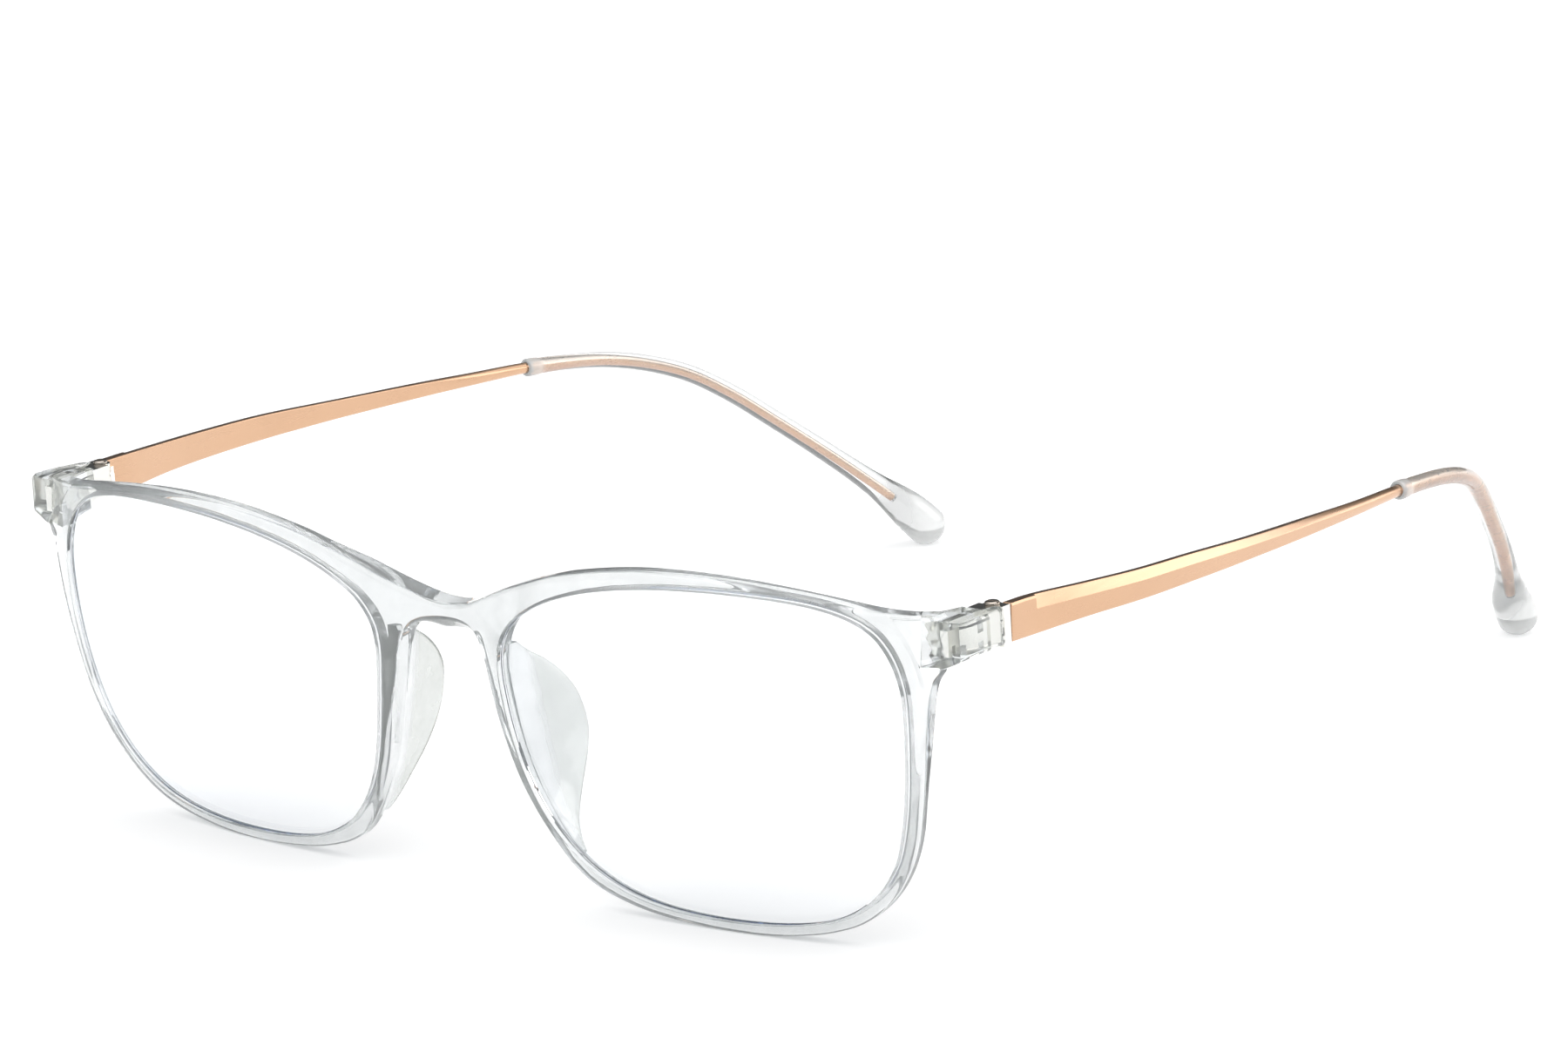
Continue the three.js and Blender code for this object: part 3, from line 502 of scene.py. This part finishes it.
def end_block():
    """Block behind the left end of the front, which carries the hinge."""
    sections = np.array(END_BLOCK, float)
    rest = sections[2:]
    smooth = catmull(rest, False, 10)
    dense = list(sections[:2])
    for y in np.linspace(rest[0, 0], rest[-1, 0] - 0.16, 12):
        dense.append(np.array([np.interp(y, smooth[:, 0], smooth[:, k]) for k in range(6)]))
    stations = [(*s, 0.0) for s in dense]
    y, *last = dense[-1]
    stations += [(y + 0.11, *last, 0.05), (y + 0.16, *last, 0.16)]    # softened back edge
    rings = []
    for i, (y, x0, x1, z0, z1, z_out, inset) in enumerate(stations):
        r = 0.3 if i < 1 else 0.55
        corners = [(x0 + inset, z0 + inset), (max(x0 + 1, x1 - 3.2), z0 + inset),
                   (x1 - inset, z_out + inset), (x1 - inset, z1 - inset), (x0 + inset, z1 - inset)]
        f = fillet(corners, [0.25, 1.2, r, r, 0.25], 6)
        rings.append(np.stack([f[:, 0], np.full(len(f), y), f[:, 1]], 1))
    return loft("end_block", rings)


def nose_pad():
    """Thin fin from the nose side of the left rim back to the pad edge."""
    edge = resample(PAD_EDGE, 64, False)
    hole = left_hole[left_hole[:, 0] < 30]
    rings = []
    for i, free in enumerate(edge):
        t = i / (len(edge) - 1)
        v = free[2] + 0.4 * (1 - t) - 0.2 * t
        near = hole[np.argsort(np.abs(hole[:, 1] - v))[:6]]
        u = np.interp(v, *zip(*sorted(map(tuple, near[:, ::-1]))))
        half = 0.48 * math.sin(math.pi * (0.32 + 0.56 * t)) + 0.05
        root = place(u - 0.85, v, 1.2)
        along = free - root
        length = np.linalg.norm(along)
        along = along / length
        side = np.array([along[1], -along[0], 0])
        side /= np.linalg.norm(side)
        bow = 0.3 * math.sin(math.pi * t)
        nose = half * 0.95                 # length of the rounded end
        straight = length - nose

        def flank(sign):
            return [root + along * s + side * (sign * half * (1.35 - 0.35 * s / length)
                                               + bow * math.sin(math.pi * s / length))
                    for s in np.linspace(0, straight, 9)]

        end_bow = side * bow * math.sin(math.pi * straight / length)
        end = [root + along * (straight + nose * math.sin(a)) - side * (half * math.cos(a)) + end_bow
               for a in (math.pi * k / 8 for k in range(1, 8))]
        rings.append(flank(-1) + end + flank(1)[::-1])
    return loft("nose_pad", rings)


# ---------------------------------------------------------------- lens

LENS_CENTRE = np.array([36.0, 21.4])
LENS_FRONT, LENS_BACK = 0.5, 1.9           # depths of its two faces
LENS_POINTS, LENS_PLAY = 300, 0.02
# Lens edge with the ridge that sits in the groove: (out from the opening, depth)
LENS_EDGE = [(-0.08, LENS_FRONT), (-0.01, 0.57), (0, 1.0), (0.19, 1.18), (0.21, GROOVE_DEPTH),
             (0.19, 1.22), (0, 1.4), (-0.01, 1.83), (-0.08, LENS_BACK)]


def lens_object(name):
    loop = resample(INNER, LENS_POINTS, True)
    spokes = offset(loop, -0.1) - LENS_CENTRE
    shares = np.linspace(0, 1, 26)[1:-1] ** 0.85
    layers = [(LENS_CENTRE + spokes * f, LENS_FRONT) for f in shares]
    layers += [(offset(loop, out - LENS_PLAY), depth) for out, depth in LENS_EDGE]
    layers += [(LENS_CENTRE + spokes * f, LENS_BACK) for f in shares[::-1]]
    verts = np.vstack([place(*LENS_CENTRE, LENS_FRONT),
                       *(place(p[:, 0], p[:, 1], depth) for p, depth in layers),
                       place(*LENS_CENTRE, LENS_BACK)])
    rows = 1 + np.arange(len(layers) * LENS_POINTS).reshape(-1, LENS_POINTS)
    faces = bands(rows) + fan(0, rows[0]) + fan(len(verts) - 1, rows[-1][::-1])
    return mesh_object(name, verts, faces)


# ---------------------------------------------------------------- temple and its tip

ARM_START, ARM_FLAT_END = ARM_PATH[0][1], 18.2       # y; the upper chamfer starts at the second
CORE_END_Y, CORE_ROUND = ARM_HEIGHT[-1][0], 0.3
COLLAR_Y, BULB_Y, CAP_Y = TIP_RADIUS[0][0], 134, 142.1
BULB_RADIUS = TIP_RADIUS[-1][1]
TIP_POINTS = 56
# Collar at the front of the tip: (y behind COLLAR_Y, radius)
COLLAR = [(0, 0.96), (0.06, 1.05), (0.2, 1.13), (0.5, 1.15), (1.3, 1.15), (1.7, 1.12),
          (2.1, 1.05), (2.6, 1.01)]

arm_dense = catmull(ARM_PATH, False, 60)
arm_along = np.gradient(arm_dense, axis=0)
arm_along /= np.linalg.norm(arm_along, axis=1)[:, None]
arm_along = np.stack([
    np.convolve(np.r_[[column[0]] * 30, column, [column[-1]] * 30], hann(61), "valid")
    for column in arm_along.T], 1)
arm_along /= np.linalg.norm(arm_along, axis=1)[:, None]
soft_height, soft_radius, soft_half_thick = map(soft_table, (ARM_HEIGHT, TIP_RADIUS, ARM_HALF_THICK))


def ring_at(y, local, ahead=0.0):
    """A section of (outward, up) points set square to the temple's centre line at y."""
    centre, along = (np.array([np.interp(y, arm_dense[:, 1], track[:, k]) for k in range(3)])
                     for track in (arm_dense, arm_along))
    along /= np.linalg.norm(along)
    out = np.array([along[1], -along[0], 0])
    out /= np.linalg.norm(out)
    up = np.cross(out, along)
    up /= np.linalg.norm(up)
    return centre + along * ahead + local[:, :1] * out + local[:, 1:] * up


def arm_section(y, shrink=0.0):
    """Flat bar with its upper outer edge chamfered, turning into an ellipse further back."""
    h = look_up(soft_height, y) / 2 - shrink
    roundness = float(smoothstep(y, 62, 90))
    t = min(look_up(soft_half_thick, y), h + 1 - roundness) - shrink
    chamfered = y > ARM_FLAT_END + 0.01
    chamfer_z = h * (0.28 if chamfered else 0.86)
    chamfer_x = 0.5 if chamfered else 0.1
    corners = fillet([(-t, -h), (t, -h), (t, chamfer_z), (t - chamfer_x, h), (-t, h)],
                     [0.14, 0.12, 0.06, 0.06, 0.14], 4)
    full = []
    for i, point in enumerate(corners):
        full.append(point)
        if i % 5 == 4:                      # the straight run to the next corner
            run = corners[(i + 1) % len(corners)] - point
            full += [point + run * k / 7 for k in range(1, 7)]
    full = np.array(full)
    angle = np.arctan2(full[:, 1] / h, full[:, 0] / t)
    ellipse = np.stack([t * np.cos(angle), h * np.sin(angle)], 1)
    return full + (ellipse - full) * roundness


def temple_arm(name):
    rings = [ring_at(ARM_START + dy, arm_section(ARM_START, shrink))
             for dy, shrink in ((0, 0.09), (0.03, 0.035), (0.09, 0.0))]
    ys = [*np.arange(14.4, 18.1, 0.4), ARM_FLAT_END, ARM_FLAT_END + 0.09,
          *np.arange(ARM_FLAT_END + 0.6, 100, 0.8), *np.arange(100, CORE_END_Y - CORE_ROUND, 0.6)]
    rings += [ring_at(y, arm_section(y)) for y in ys]
    for s in (0.3, 0.6, 0.85, 0.97):        # rounded back end
        y = CORE_END_Y - CORE_ROUND + CORE_ROUND * s
        rings.append(ring_at(y, arm_section(y) * math.sqrt(1 - s * s)))
    return loft(name, rings)


def temple_tip(name):
    """Clear sleeve over the metal core, with a front collar and a bulb at the back end."""
    n = TIP_POINTS
    outer = [ring_at(COLLAR_Y + dy, circle(r, n)) for dy, r in COLLAR]
    for y in [*np.arange(COLLAR_Y + 3.2, BULB_Y, 0.7), *np.arange(BULB_Y, CAP_Y, 0.3)]:
        outer.append(ring_at(y, circle(look_up(soft_radius, y), n)))
    for s in np.sin(np.radians([10, 20, 30, 40, 50, 60, 69, 77, 84])):
        r = BULB_RADIUS * math.sqrt(1 - s * s)
        outer.append(ring_at(CAP_Y, circle(r, n), ahead=0.95 * BULB_RADIUS * s - 0.05))
    # bore: presses on the wire core, so it lies just under the core's surface
    inner = []
    for y in [COLLAR_Y, COLLAR_Y + 0.15, *np.arange(COLLAR_Y + 0.9, CORE_END_Y - 0.2, 0.8),
              CORE_END_Y - 0.05]:
        half_size = np.array([look_up(soft_half_thick, y), look_up(soft_height, y) / 2])
        grow = 0.06 if y < COLLAR_Y + 0.3 else -0.02
        inner.append(ring_at(y, circle(1, n) * (half_size + grow)))
    for s in (0.4, 0.75):
        end_size = half_size * (0.9 * math.sqrt(1 - s * s))
        inner.append(ring_at(CORE_END_Y, circle(1, n) * end_size, ahead=0.12 * s))
    total = (len(outer) + len(inner)) * n
    rows = np.arange(total).reshape(-1, n)
    out_rows, in_rows = rows[:len(outer)], rows[len(outer):]
    faces = bands(out_rows) + bands(in_rows) + band(out_rows[0], in_rows[0])
    faces += fan(total, out_rows[-1]) + fan(total + 1, in_rows[-1])
    verts = np.vstack([*outer, *inner, outer[-1].mean(0), inner[-1].mean(0)])
    return mesh_object(name, verts, faces)


# ---------------------------------------------------------------- shader helpers


class Shader:
    """Node tree of a material or a world."""

    def __init__(self, owner, output="OutputMaterial"):
        owner.use_nodes = True
        self.owner = owner
        self.tree = owner.node_tree
        self.tree.nodes.clear()
        self.out = self.node(output)

    def feed(self, socket, value):
        """Gives a socket a value, another socket or a node's first output."""
        if isinstance(value, bpy.types.Node):
            value = value.outputs[0]
        if isinstance(value, bpy.types.NodeSocket):
            self.tree.links.new(value, socket)
        elif socket.type == "RGBA":
            socket.default_value = (*value, 1)
        else:
            socket.default_value = value

    def node(self, kind, inputs=None, **settings):
        node = self.tree.nodes.new("ShaderNode" + kind)
        for key, value in settings.items():
            setattr(node, key, value)
        for key, value in (inputs or {}).items():
            self.feed(node.inputs[key], value)
        return node

    def coords(self):
        return self.node("TexCoord").outputs["Object"]

    def split(self, vector):
        return self.node("SeparateXYZ", {0: vector}).outputs

    def noise(self, scale, detail=4, stretch=(1, 1, 1), rough=0.55):
        vector = self.node("Mapping", {"Vector": self.coords(), "Scale": stretch})
        return self.node("TexNoise", {"Vector": vector, "Scale": scale, "Detail": detail,
                                      "Roughness": rough}).outputs["Fac"]

    def remap(self, value, to, span=(0.3, 0.7), **settings):
        return self.node("MapRange", {
            "Value": value, "From Min": span[0], "From Max": span[1],
            "To Min": to[0], "To Max": to[1]}, **settings).outputs["Result"]

    def math(self, operation, *values):
        return self.node("Math", dict(enumerate(values)), operation=operation)

    def mix_colour(self, share, first, second, blend="MIX"):
        return self.node("Mix", {0: share, 6: first, 7: second},
                         data_type="RGBA", blend_type=blend).outputs[2]

    def bump(self, height, strength, distance, normal=None):
        inputs = {"Height": height, "Strength": strength, "Distance": distance}
        if normal is not None:
            inputs["Normal"] = normal
        return self.node("Bump", inputs)

    def mix_shader(self, share, first, second):
        return self.node("MixShader", {0: share, 1: first, 2: second})

    def surface(self, shader):
        self.feed(self.out.inputs["Surface"], shader)

    def clear_body(self, body, shadow, absorb, density):
        """A body that tints its shadow rays and absorbs light inside."""
        is_shadow = self.node("LightPath").outputs["Is Shadow Ray"]
        see_through = self.node("BsdfTransparent", {"Color": shadow})
        self.surface(self.mix_shader(is_shadow, body, see_through))
        volume = self.node("VolumeAbsorption", {"Color": absorb, "Density": density})
        self.feed(self.out.inputs["Volume"], volume)


def new_shader(name):
    return Shader(bpy.data.materials.new(name))


# ---------------------------------------------------------------- materials
# Noise scales and distances here are in metres; *_Y values are drawing millimetres.

PAD_HAZE_Y, PAD_HAZE = 2.2, 0.14           # where the satin pads start, and their extra haze
PAD_HAZE_COLOUR = (0.80, 0.835, 0.775)
# from this y back, the core inside the sleeve gets a painted highlight above and painted shade below
PAINTED_LIGHT_CORE_Y = 90.5


def moulding_haze(shader, milky, amount):
    """Satin pads behind the bridge, extra clear end blocks round the hinges."""
    start = (SHIFT[1] + PAD_HAZE_Y) * MM
    position = shader.split(shader.coords())
    off_middle = shader.math("ABSOLUTE", position["X"])
    pads = shader.math("MULTIPLY",
                       shader.remap(position["Y"], to=(0, PAD_HAZE), span=(start, start + 0.001)),
                       shader.remap(off_middle, to=(1, 0), span=(0.019, 0.021)))
    share = shader.remap(pads, to=(0, 1), span=(0, PAD_HAZE))
    plain = tuple(milky.inputs["Base Color"].default_value)[:3]
    shader.feed(milky.inputs["Base Color"], shader.mix_colour(share, plain, PAD_HAZE_COLOUR))
    ends = shader.remap(off_middle, to=(1, 0.3), span=(0.0625, 0.0645))
    return shader.math("ADD", shader.math("MULTIPLY", amount, ends), pads)


def tip_haze(shader, _milky, amount):
    """Extra haze from the mesh's own "haze" attribute."""
    painted = shader.node("Attribute", attribute_name="haze").outputs["Fac"]
    return shader.math("ADD", amount, painted)


def clear_plastic(name, tint, haze_colour, haze, absorb, density, wave, local_haze):
    """Clear moulded plastic: polished, faintly hazy, with depth tint and slight flow waves."""
    shader = new_shader(name)
    slow = shader.noise(260, detail=3)
    fine = shader.noise(5200, detail=5)
    waves = shader.bump(shader.noise(420, detail=2), strength=wave, distance=0.0002)
    waves = shader.bump(fine, strength=0.02, distance=0.00003, normal=waves)
    drifted = tuple(c * k for c, k in zip(tint, (0.985, 0.99, 0.995)))
    polished = shader.node("BsdfPrincipled", {
        "Base Color": shader.mix_colour(slow, tint, drifted), "Transmission Weight": 1,
        "IOR": 1.5, "Roughness": shader.remap(fine, to=(0.02, 0.05)), "Normal": waves})
    milky = shader.node("BsdfPrincipled", {
        "Base Color": haze_colour, "Roughness": 0.12, "Specular IOR Level": 0.5,
        "Normal": waves})
    amount = local_haze(shader, milky, shader.remap(slow, to=(haze * 0.8, haze * 1.2)))
    shader.clear_body(shader.mix_shader(amount, polished, milky),
                      shadow=(0.94, 0.9447, 0.9494), absorb=absorb, density=density)
    return shader.owner


def lens_material():
    shader = new_shader("lens_coated")
    slow = shader.noise(60, detail=2)
    glass = shader.node("BsdfPrincipled", {
        "Transmission Weight": 1, "IOR": 1.5, "Roughness": 0.0, "Specular IOR Level": 0.15,
        "Base Color": shader.mix_colour(slow, (1.0, 1.0, 1.0), (0.993, 0.996, 1.0))})
    # blue-violet residual colour of the coating, stronger towards grazing angles
    facing = shader.node("LayerWeight", {"Blend": 0.28}).outputs["Facing"]
    coating = shader.node("BsdfGlossy", {
        "Roughness": 0.02,
        "Color": shader.mix_colour(slow, (0.42, 0.66, 1.0), (0.52, 0.60, 1.0))})
    share = shader.remap(facing, to=(0.004, 0.10), span=(0.25, 1.0))
    # the pale blue absorption shows along the edge only
    shader.clear_body(shader.mix_shader(share, glass, coating), shadow=(0.993, 0.995, 0.997),
                      absorb=(0.70, 0.88, 1.0), density=34)
    return shader.owner


def metal(name, colours, rough, grain_scale, grain_bump, grain=(1, 1, 1), lacquer=0.0,
          painted_light_from=None):
    """Satin metal: fine directional grain, slow colour drift and slightly rubbed edges; optionally a
    painted highlight above and painted shade below on the core from a given y back.
    """
    shader = new_shader(name)
    slow = shader.noise(90, detail=3)
    fine = shader.noise(grain_scale, stretch=grain, rough=0.65)
    base = shader.mix_colour(shader.remap(slow, to=(0, 1)), *colours)
    speckle = shader.mix_colour(fine, (0.6, 0.6, 0.6), (1, 1, 1))
    base = shader.mix_colour(0.08, base, speckle, "MULTIPLY")
    geometry = shader.node("NewGeometry").outputs
    edge = shader.remap(geometry["Pointiness"], to=(0, 0.35), span=(0.52, 0.6))
    base = shader.mix_colour(edge, base, tuple(min(1, c * 1.15 + 0.04) for c in colours[0]))
    if painted_light_from is not None:
        # painted highlight and shade on the core under the clear sleeve: paler where its normal
        # faces up, redder where it faces down
        up = shader.split(geometry["Normal"])["Z"]
        under = shader.remap(shader.split(shader.coords())["Y"], to=(0, 1),
                             span=(painted_light_from, painted_light_from + 0.001))
        for to, span, colour in (((0, 0.85), (0.05, 0.55), (1.0, 0.90, 0.80)),
                                 ((0.45, 0), (-0.6, 0.0), (0.56, 0.33, 0.26))):
            painted_light = shader.math("MULTIPLY", under, shader.remap(up, to=to, span=span))
            base = shader.mix_colour(painted_light, base, colour)
    uneven = shader.bump(slow, strength=0.05, distance=0.00005)
    shader.surface(shader.node("BsdfPrincipled", {
        "Metallic": 1, "Base Color": base,
        "Roughness": shader.remap(fine, to=rough, span=(0.25, 0.75)),
        "Coat Weight": lacquer, "Coat Roughness": 0.2,
        "Normal": shader.bump(fine, grain_bump, distance=0.00001, normal=uneven)}))
    return shader.owner


def nylon_material():
    shader = new_shader("washer_nylon")
    fine = shader.noise(4000)
    shader.surface(shader.node("BsdfPrincipled", {
        "Base Color": shader.mix_colour(fine, (0.86, 0.84, 0.78), (0.93, 0.92, 0.88)),
        "Roughness": shader.remap(fine, to=(0.4, 0.55)),
        "Subsurface Weight": 0.2, "Subsurface Scale": 0.0004,
        "Normal": shader.bump(fine, strength=0.1, distance=0.00001)}))
    return shader.owner


def floor_material():
    shader = new_shader("pale_floor")
    colour = shader.mix_colour(shader.noise(3, detail=3), (0.93, 0.93, 0.93), (0.945, 0.945, 0.945))
    matt = shader.node("BsdfDiffuse", {"Color": colour})
    glow = shader.node("Emission", {"Strength": 0.14})     # the sweep is evenly lit from below
    shader.surface(shader.node("AddShader", {0: matt, 1: glow}))
    return shader.owner


frame_plastic = clear_plastic(
    "clear_moulding", tint=(0.99, 0.995, 1.0), haze_colour=(0.85, 0.885, 0.88), haze=0.20,
    absorb=(0.48, 0.535, 0.54), density=58, wave=0.012, local_haze=moulding_haze)
tip_plastic = clear_plastic(
    "clear_sleeve", tint=(0.99, 0.992, 0.992), haze_colour=(0.93, 0.94, 0.93), haze=0.15,
    absorb=(0.55, 0.58, 0.58), density=16, wave=0.004, local_haze=tip_haze)
lens_coated = lens_material()
# the gold carries a painted highlight and shade on the core inside the sleeves
gold = metal("rose_gold_satin", colours=((0.655, 0.395, 0.235), (0.69, 0.42, 0.252)),
             rough=(0.25, 0.33), grain_scale=2600, grain_bump=0.04, grain=(1, 0.03, 1),
             lacquer=1.0, painted_light_from=(SHIFT[1] + PAINTED_LIGHT_CORE_Y) * MM)
silver = metal("hinge_silver", colours=((0.87, 0.855, 0.80), (0.82, 0.81, 0.77)),
               rough=(0.10, 0.2), grain_scale=3000, grain_bump=0.08, grain=(1, 1, 0.1))
steel = metal("screw_steel", colours=((0.52, 0.46, 0.40), (0.46, 0.41, 0.37)),
              rough=(0.16, 0.26), grain_scale=4000, grain_bump=0.08)
nylon = nylon_material()

# ---------------------------------------------------------------- assembly

# The hinge is moulded in: seats a little smaller than the metal leave no air between.
PRESS = 0.02
# Seats: inner x, outer x, front y, back y, half height
SEATS = [(66.5 + PRESS, 67.5 - PRESS, 6.6 + PRESS, 13, 1.5 - PRESS),
         (64, 68.1 - PRESS, 9.6 + PRESS, 13, 4)]

moulding = front_moulding()
block, pad = end_block(), nose_pad()
for part in [mirrored(block, "block_r"), mirrored(pad, "pad_r"), block, pad]:
    boolean(moulding, part, "UNION")
for sign in (1, -1):
    for inner_x, outer_x, y0, y1, half in SEATS:
        x0, x1 = sorted((sign * inner_x, sign * outer_x))
        seat = box("seat", x0, x1, y0, y1, HINGE_Z - half, HINGE_Z + half)
        boolean(moulding, seat, "DIFFERENCE")
finish_piece(moulding, frame_plastic, "front", "front_frame", sharp_angle=34)

left_lens = lens_object("lens_plano_left")
right_lens = mirrored(left_lens, "lens_plano_right")
left_arm = temple_arm("arm_left")
right_arm = mirrored(left_arm, "arm_right")
left_tip = temple_tip("sleeve_left")
# the plastic is milkier in the thick bulb and at the moulded collar
haze = left_tip.data.attributes.new("haze", "FLOAT", "POINT")
for k, vertex in enumerate(left_tip.data.vertices):
    bulb = float(smoothstep(vertex.co.y, 137.2, 139.6))
    collar = float(1 - smoothstep(vertex.co.y, 90.4, 91.6))
    haze.data[k].value = 0.33 * bulb + 0.3 * collar
right_tip = mirrored(left_tip, "sleeve_right")
for side, lens, arm, tip in (("left", left_lens, left_arm, left_tip),
                             ("right", right_lens, right_arm, right_tip)):
    temple = f"temple_{side}"
    finish_piece(lens, lens_coated, "front", f"lens_{side}", 30, weighted=False)
    finish_piece(arm, gold, temple, f"temple_arm_{side}", 32)
    finish_piece(tip, tip_plastic, temple, f"temple_tip_{side}", 62, weighted=False)


def keep(node, material, bevel, ease):
    """A CAD piece whose shape is right: real edges broken, and its own finish."""
    ob = frame["nodes"][node]
    ob.modifiers.new("weld", "WELD").merge_threshold = 1e-7
    if ease:                                # shrinks every face: frees a touch at the closed stop
        shrink = ob.modifiers.new("ease", "DISPLACE")
        shrink.mid_level = 0
        shrink.strength = -ease * MM
    edges = ob.modifiers.new("edges", "BEVEL")
    edges.width = bevel * MM
    edges.segments = 3
    edges.limit_method = "ANGLE"
    edges.angle_limit = math.radians(40)
    edges.harden_normals = True
    ob.data.materials.clear()
    ob.data.materials.append(material)


# Hinge pieces: CAD name, material, bevel, ease
HINGE_PARTS = [("hinge_plate", silver, 0.06, 0), ("hinge_screw", steel, 0.03, 0),
               ("hinge_washer_upper", nylon, 0.03, 0), ("hinge_washer_lower", nylon, 0.03, 0),
               ("temple_knuckle", silver, 0.06, 0.025)]
for side in ("left", "right"):
    for part, material, bevel, ease in HINGE_PARTS:
        keep(f"{part}_{side}", material, bevel, ease)

# ---------------------------------------------------------------- floor, light, view (metres)

FLOOR_HALF, FLOOR_Z = 6, -0.00003
SKY_STRENGTH = 2.25
# Sky brightness from straight down (0) to straight up (1)
SKY_STOPS = [(0.0, (0.10, 0.105, 0.11)), (0.18, (0.115, 0.12, 0.125)), (0.45, (0.20, 0.205, 0.21)),
             (0.60, (0.65, 0.65, 0.655)), (0.75, (1.0, 1.0, 1.0)), (1.0, (1.0, 1.0, 1.0))]
DARK_DIRECTION = Vector((-0.58, 0.58, 0.57)).normalized()


def build_floor():
    corners = [(x * FLOOR_HALF, y * FLOOR_HALF, FLOOR_Z)
               for x, y in ((-1, -1), (1, -1), (1, 1), (-1, 1))]
    floor = mesh_object("floor", corners, [(0, 1, 2, 3)])
    floor.data.materials.append(floor_material())


def build_world():
    scene.world = bpy.data.worlds.new("studio")
    sky = Shader(scene.world, "OutputWorld")
    direction = sky.node("TexCoord").outputs["Generated"]
    gradient = sky.node("ValToRGB", {"Fac": sky.split(direction)["Z"]})
    elements = gradient.color_ramp.elements
    for element, (position, colour) in zip(elements, (SKY_STOPS[0], SKY_STOPS[-1])):
        element.position, element.color = position, (*colour, 1)
    for position, colour in SKY_STOPS[1:-1]:
        elements.new(position).color = (*colour, 1)
    # one upper corner (-x, +y) is unlit: clear plastic shows it as its dark edge lines
    towards = sky.node("VectorMath", {0: direction, 1: DARK_DIRECTION}, operation="DOT_PRODUCT")
    strength = sky.remap(towards.outputs["Value"], to=(SKY_STRENGTH, SKY_STRENGTH * 0.22),
                         span=(0.5, 0.78), interpolation_type="SMOOTHSTEP")
    sky.surface(sky.node("Background", {"Color": gradient, "Strength": strength}))


def build_light():
    """Soft panel behind, on the +x side."""
    position, aim = Vector((0.82, 0.96, 0.34)), Vector((0.03, 0.02, 0.03))
    light = bpy.data.lights.new("soft_back_right", "AREA")
    light.shape = "RECTANGLE"
    light.size, light.size_y = 0.9, 0.42
    light.energy = 3.0
    light.color = (1.0, 0.985, 0.975)
    ob = link_object("soft_back_right", light)
    ob.location = position
    ob.rotation_euler = (aim - position).to_track_quat("-Z", "Y").to_euler()


def build_camera():
    lens = bpy.data.cameras.new("view")
    lens.sensor_width = 36
    lens.lens = 177.1767
    lens.clip_start = 0.05
    lens.clip_end = 30
    camera = link_object("view", lens)
    right = Vector((0.773433, 0.631209, -0.058112)).normalized()
    forward = Vector((-0.622734, 0.739521, -0.255562)).normalized()
    up = right.cross(forward).normalized()
    turn = Matrix((right, up, -forward)).transposed()
    eye = (np.array([567.2252, -615.2758, 261.6907]) + SHIFT) * MM     # drawn in millimetres
    camera.matrix_world = Matrix.Translation(Vector(eye)) @ turn.to_4x4()
    scene.camera = camera


def render_settings():
    scene.view_settings.view_transform = "Standard"
    scene.view_settings.look = "None"
    scene.view_settings.exposure = 0
    scene.view_settings.gamma = 1
    if hasattr(scene, "cycles"):            # absent when the Cycles add-on is off
        cycles = scene.cycles
        cycles.max_bounces = 28
        cycles.transmission_bounces = 28
        cycles.glossy_bounces = 12
        cycles.diffuse_bounces = 4
        cycles.transparent_max_bounces = 32
        cycles.caustics_reflective = False
        cycles.caustics_refractive = False
        cycles.use_denoising = True


build_floor()
build_world()
build_light()
build_camera()
render_settings()

bpy.context.view_layer.update()
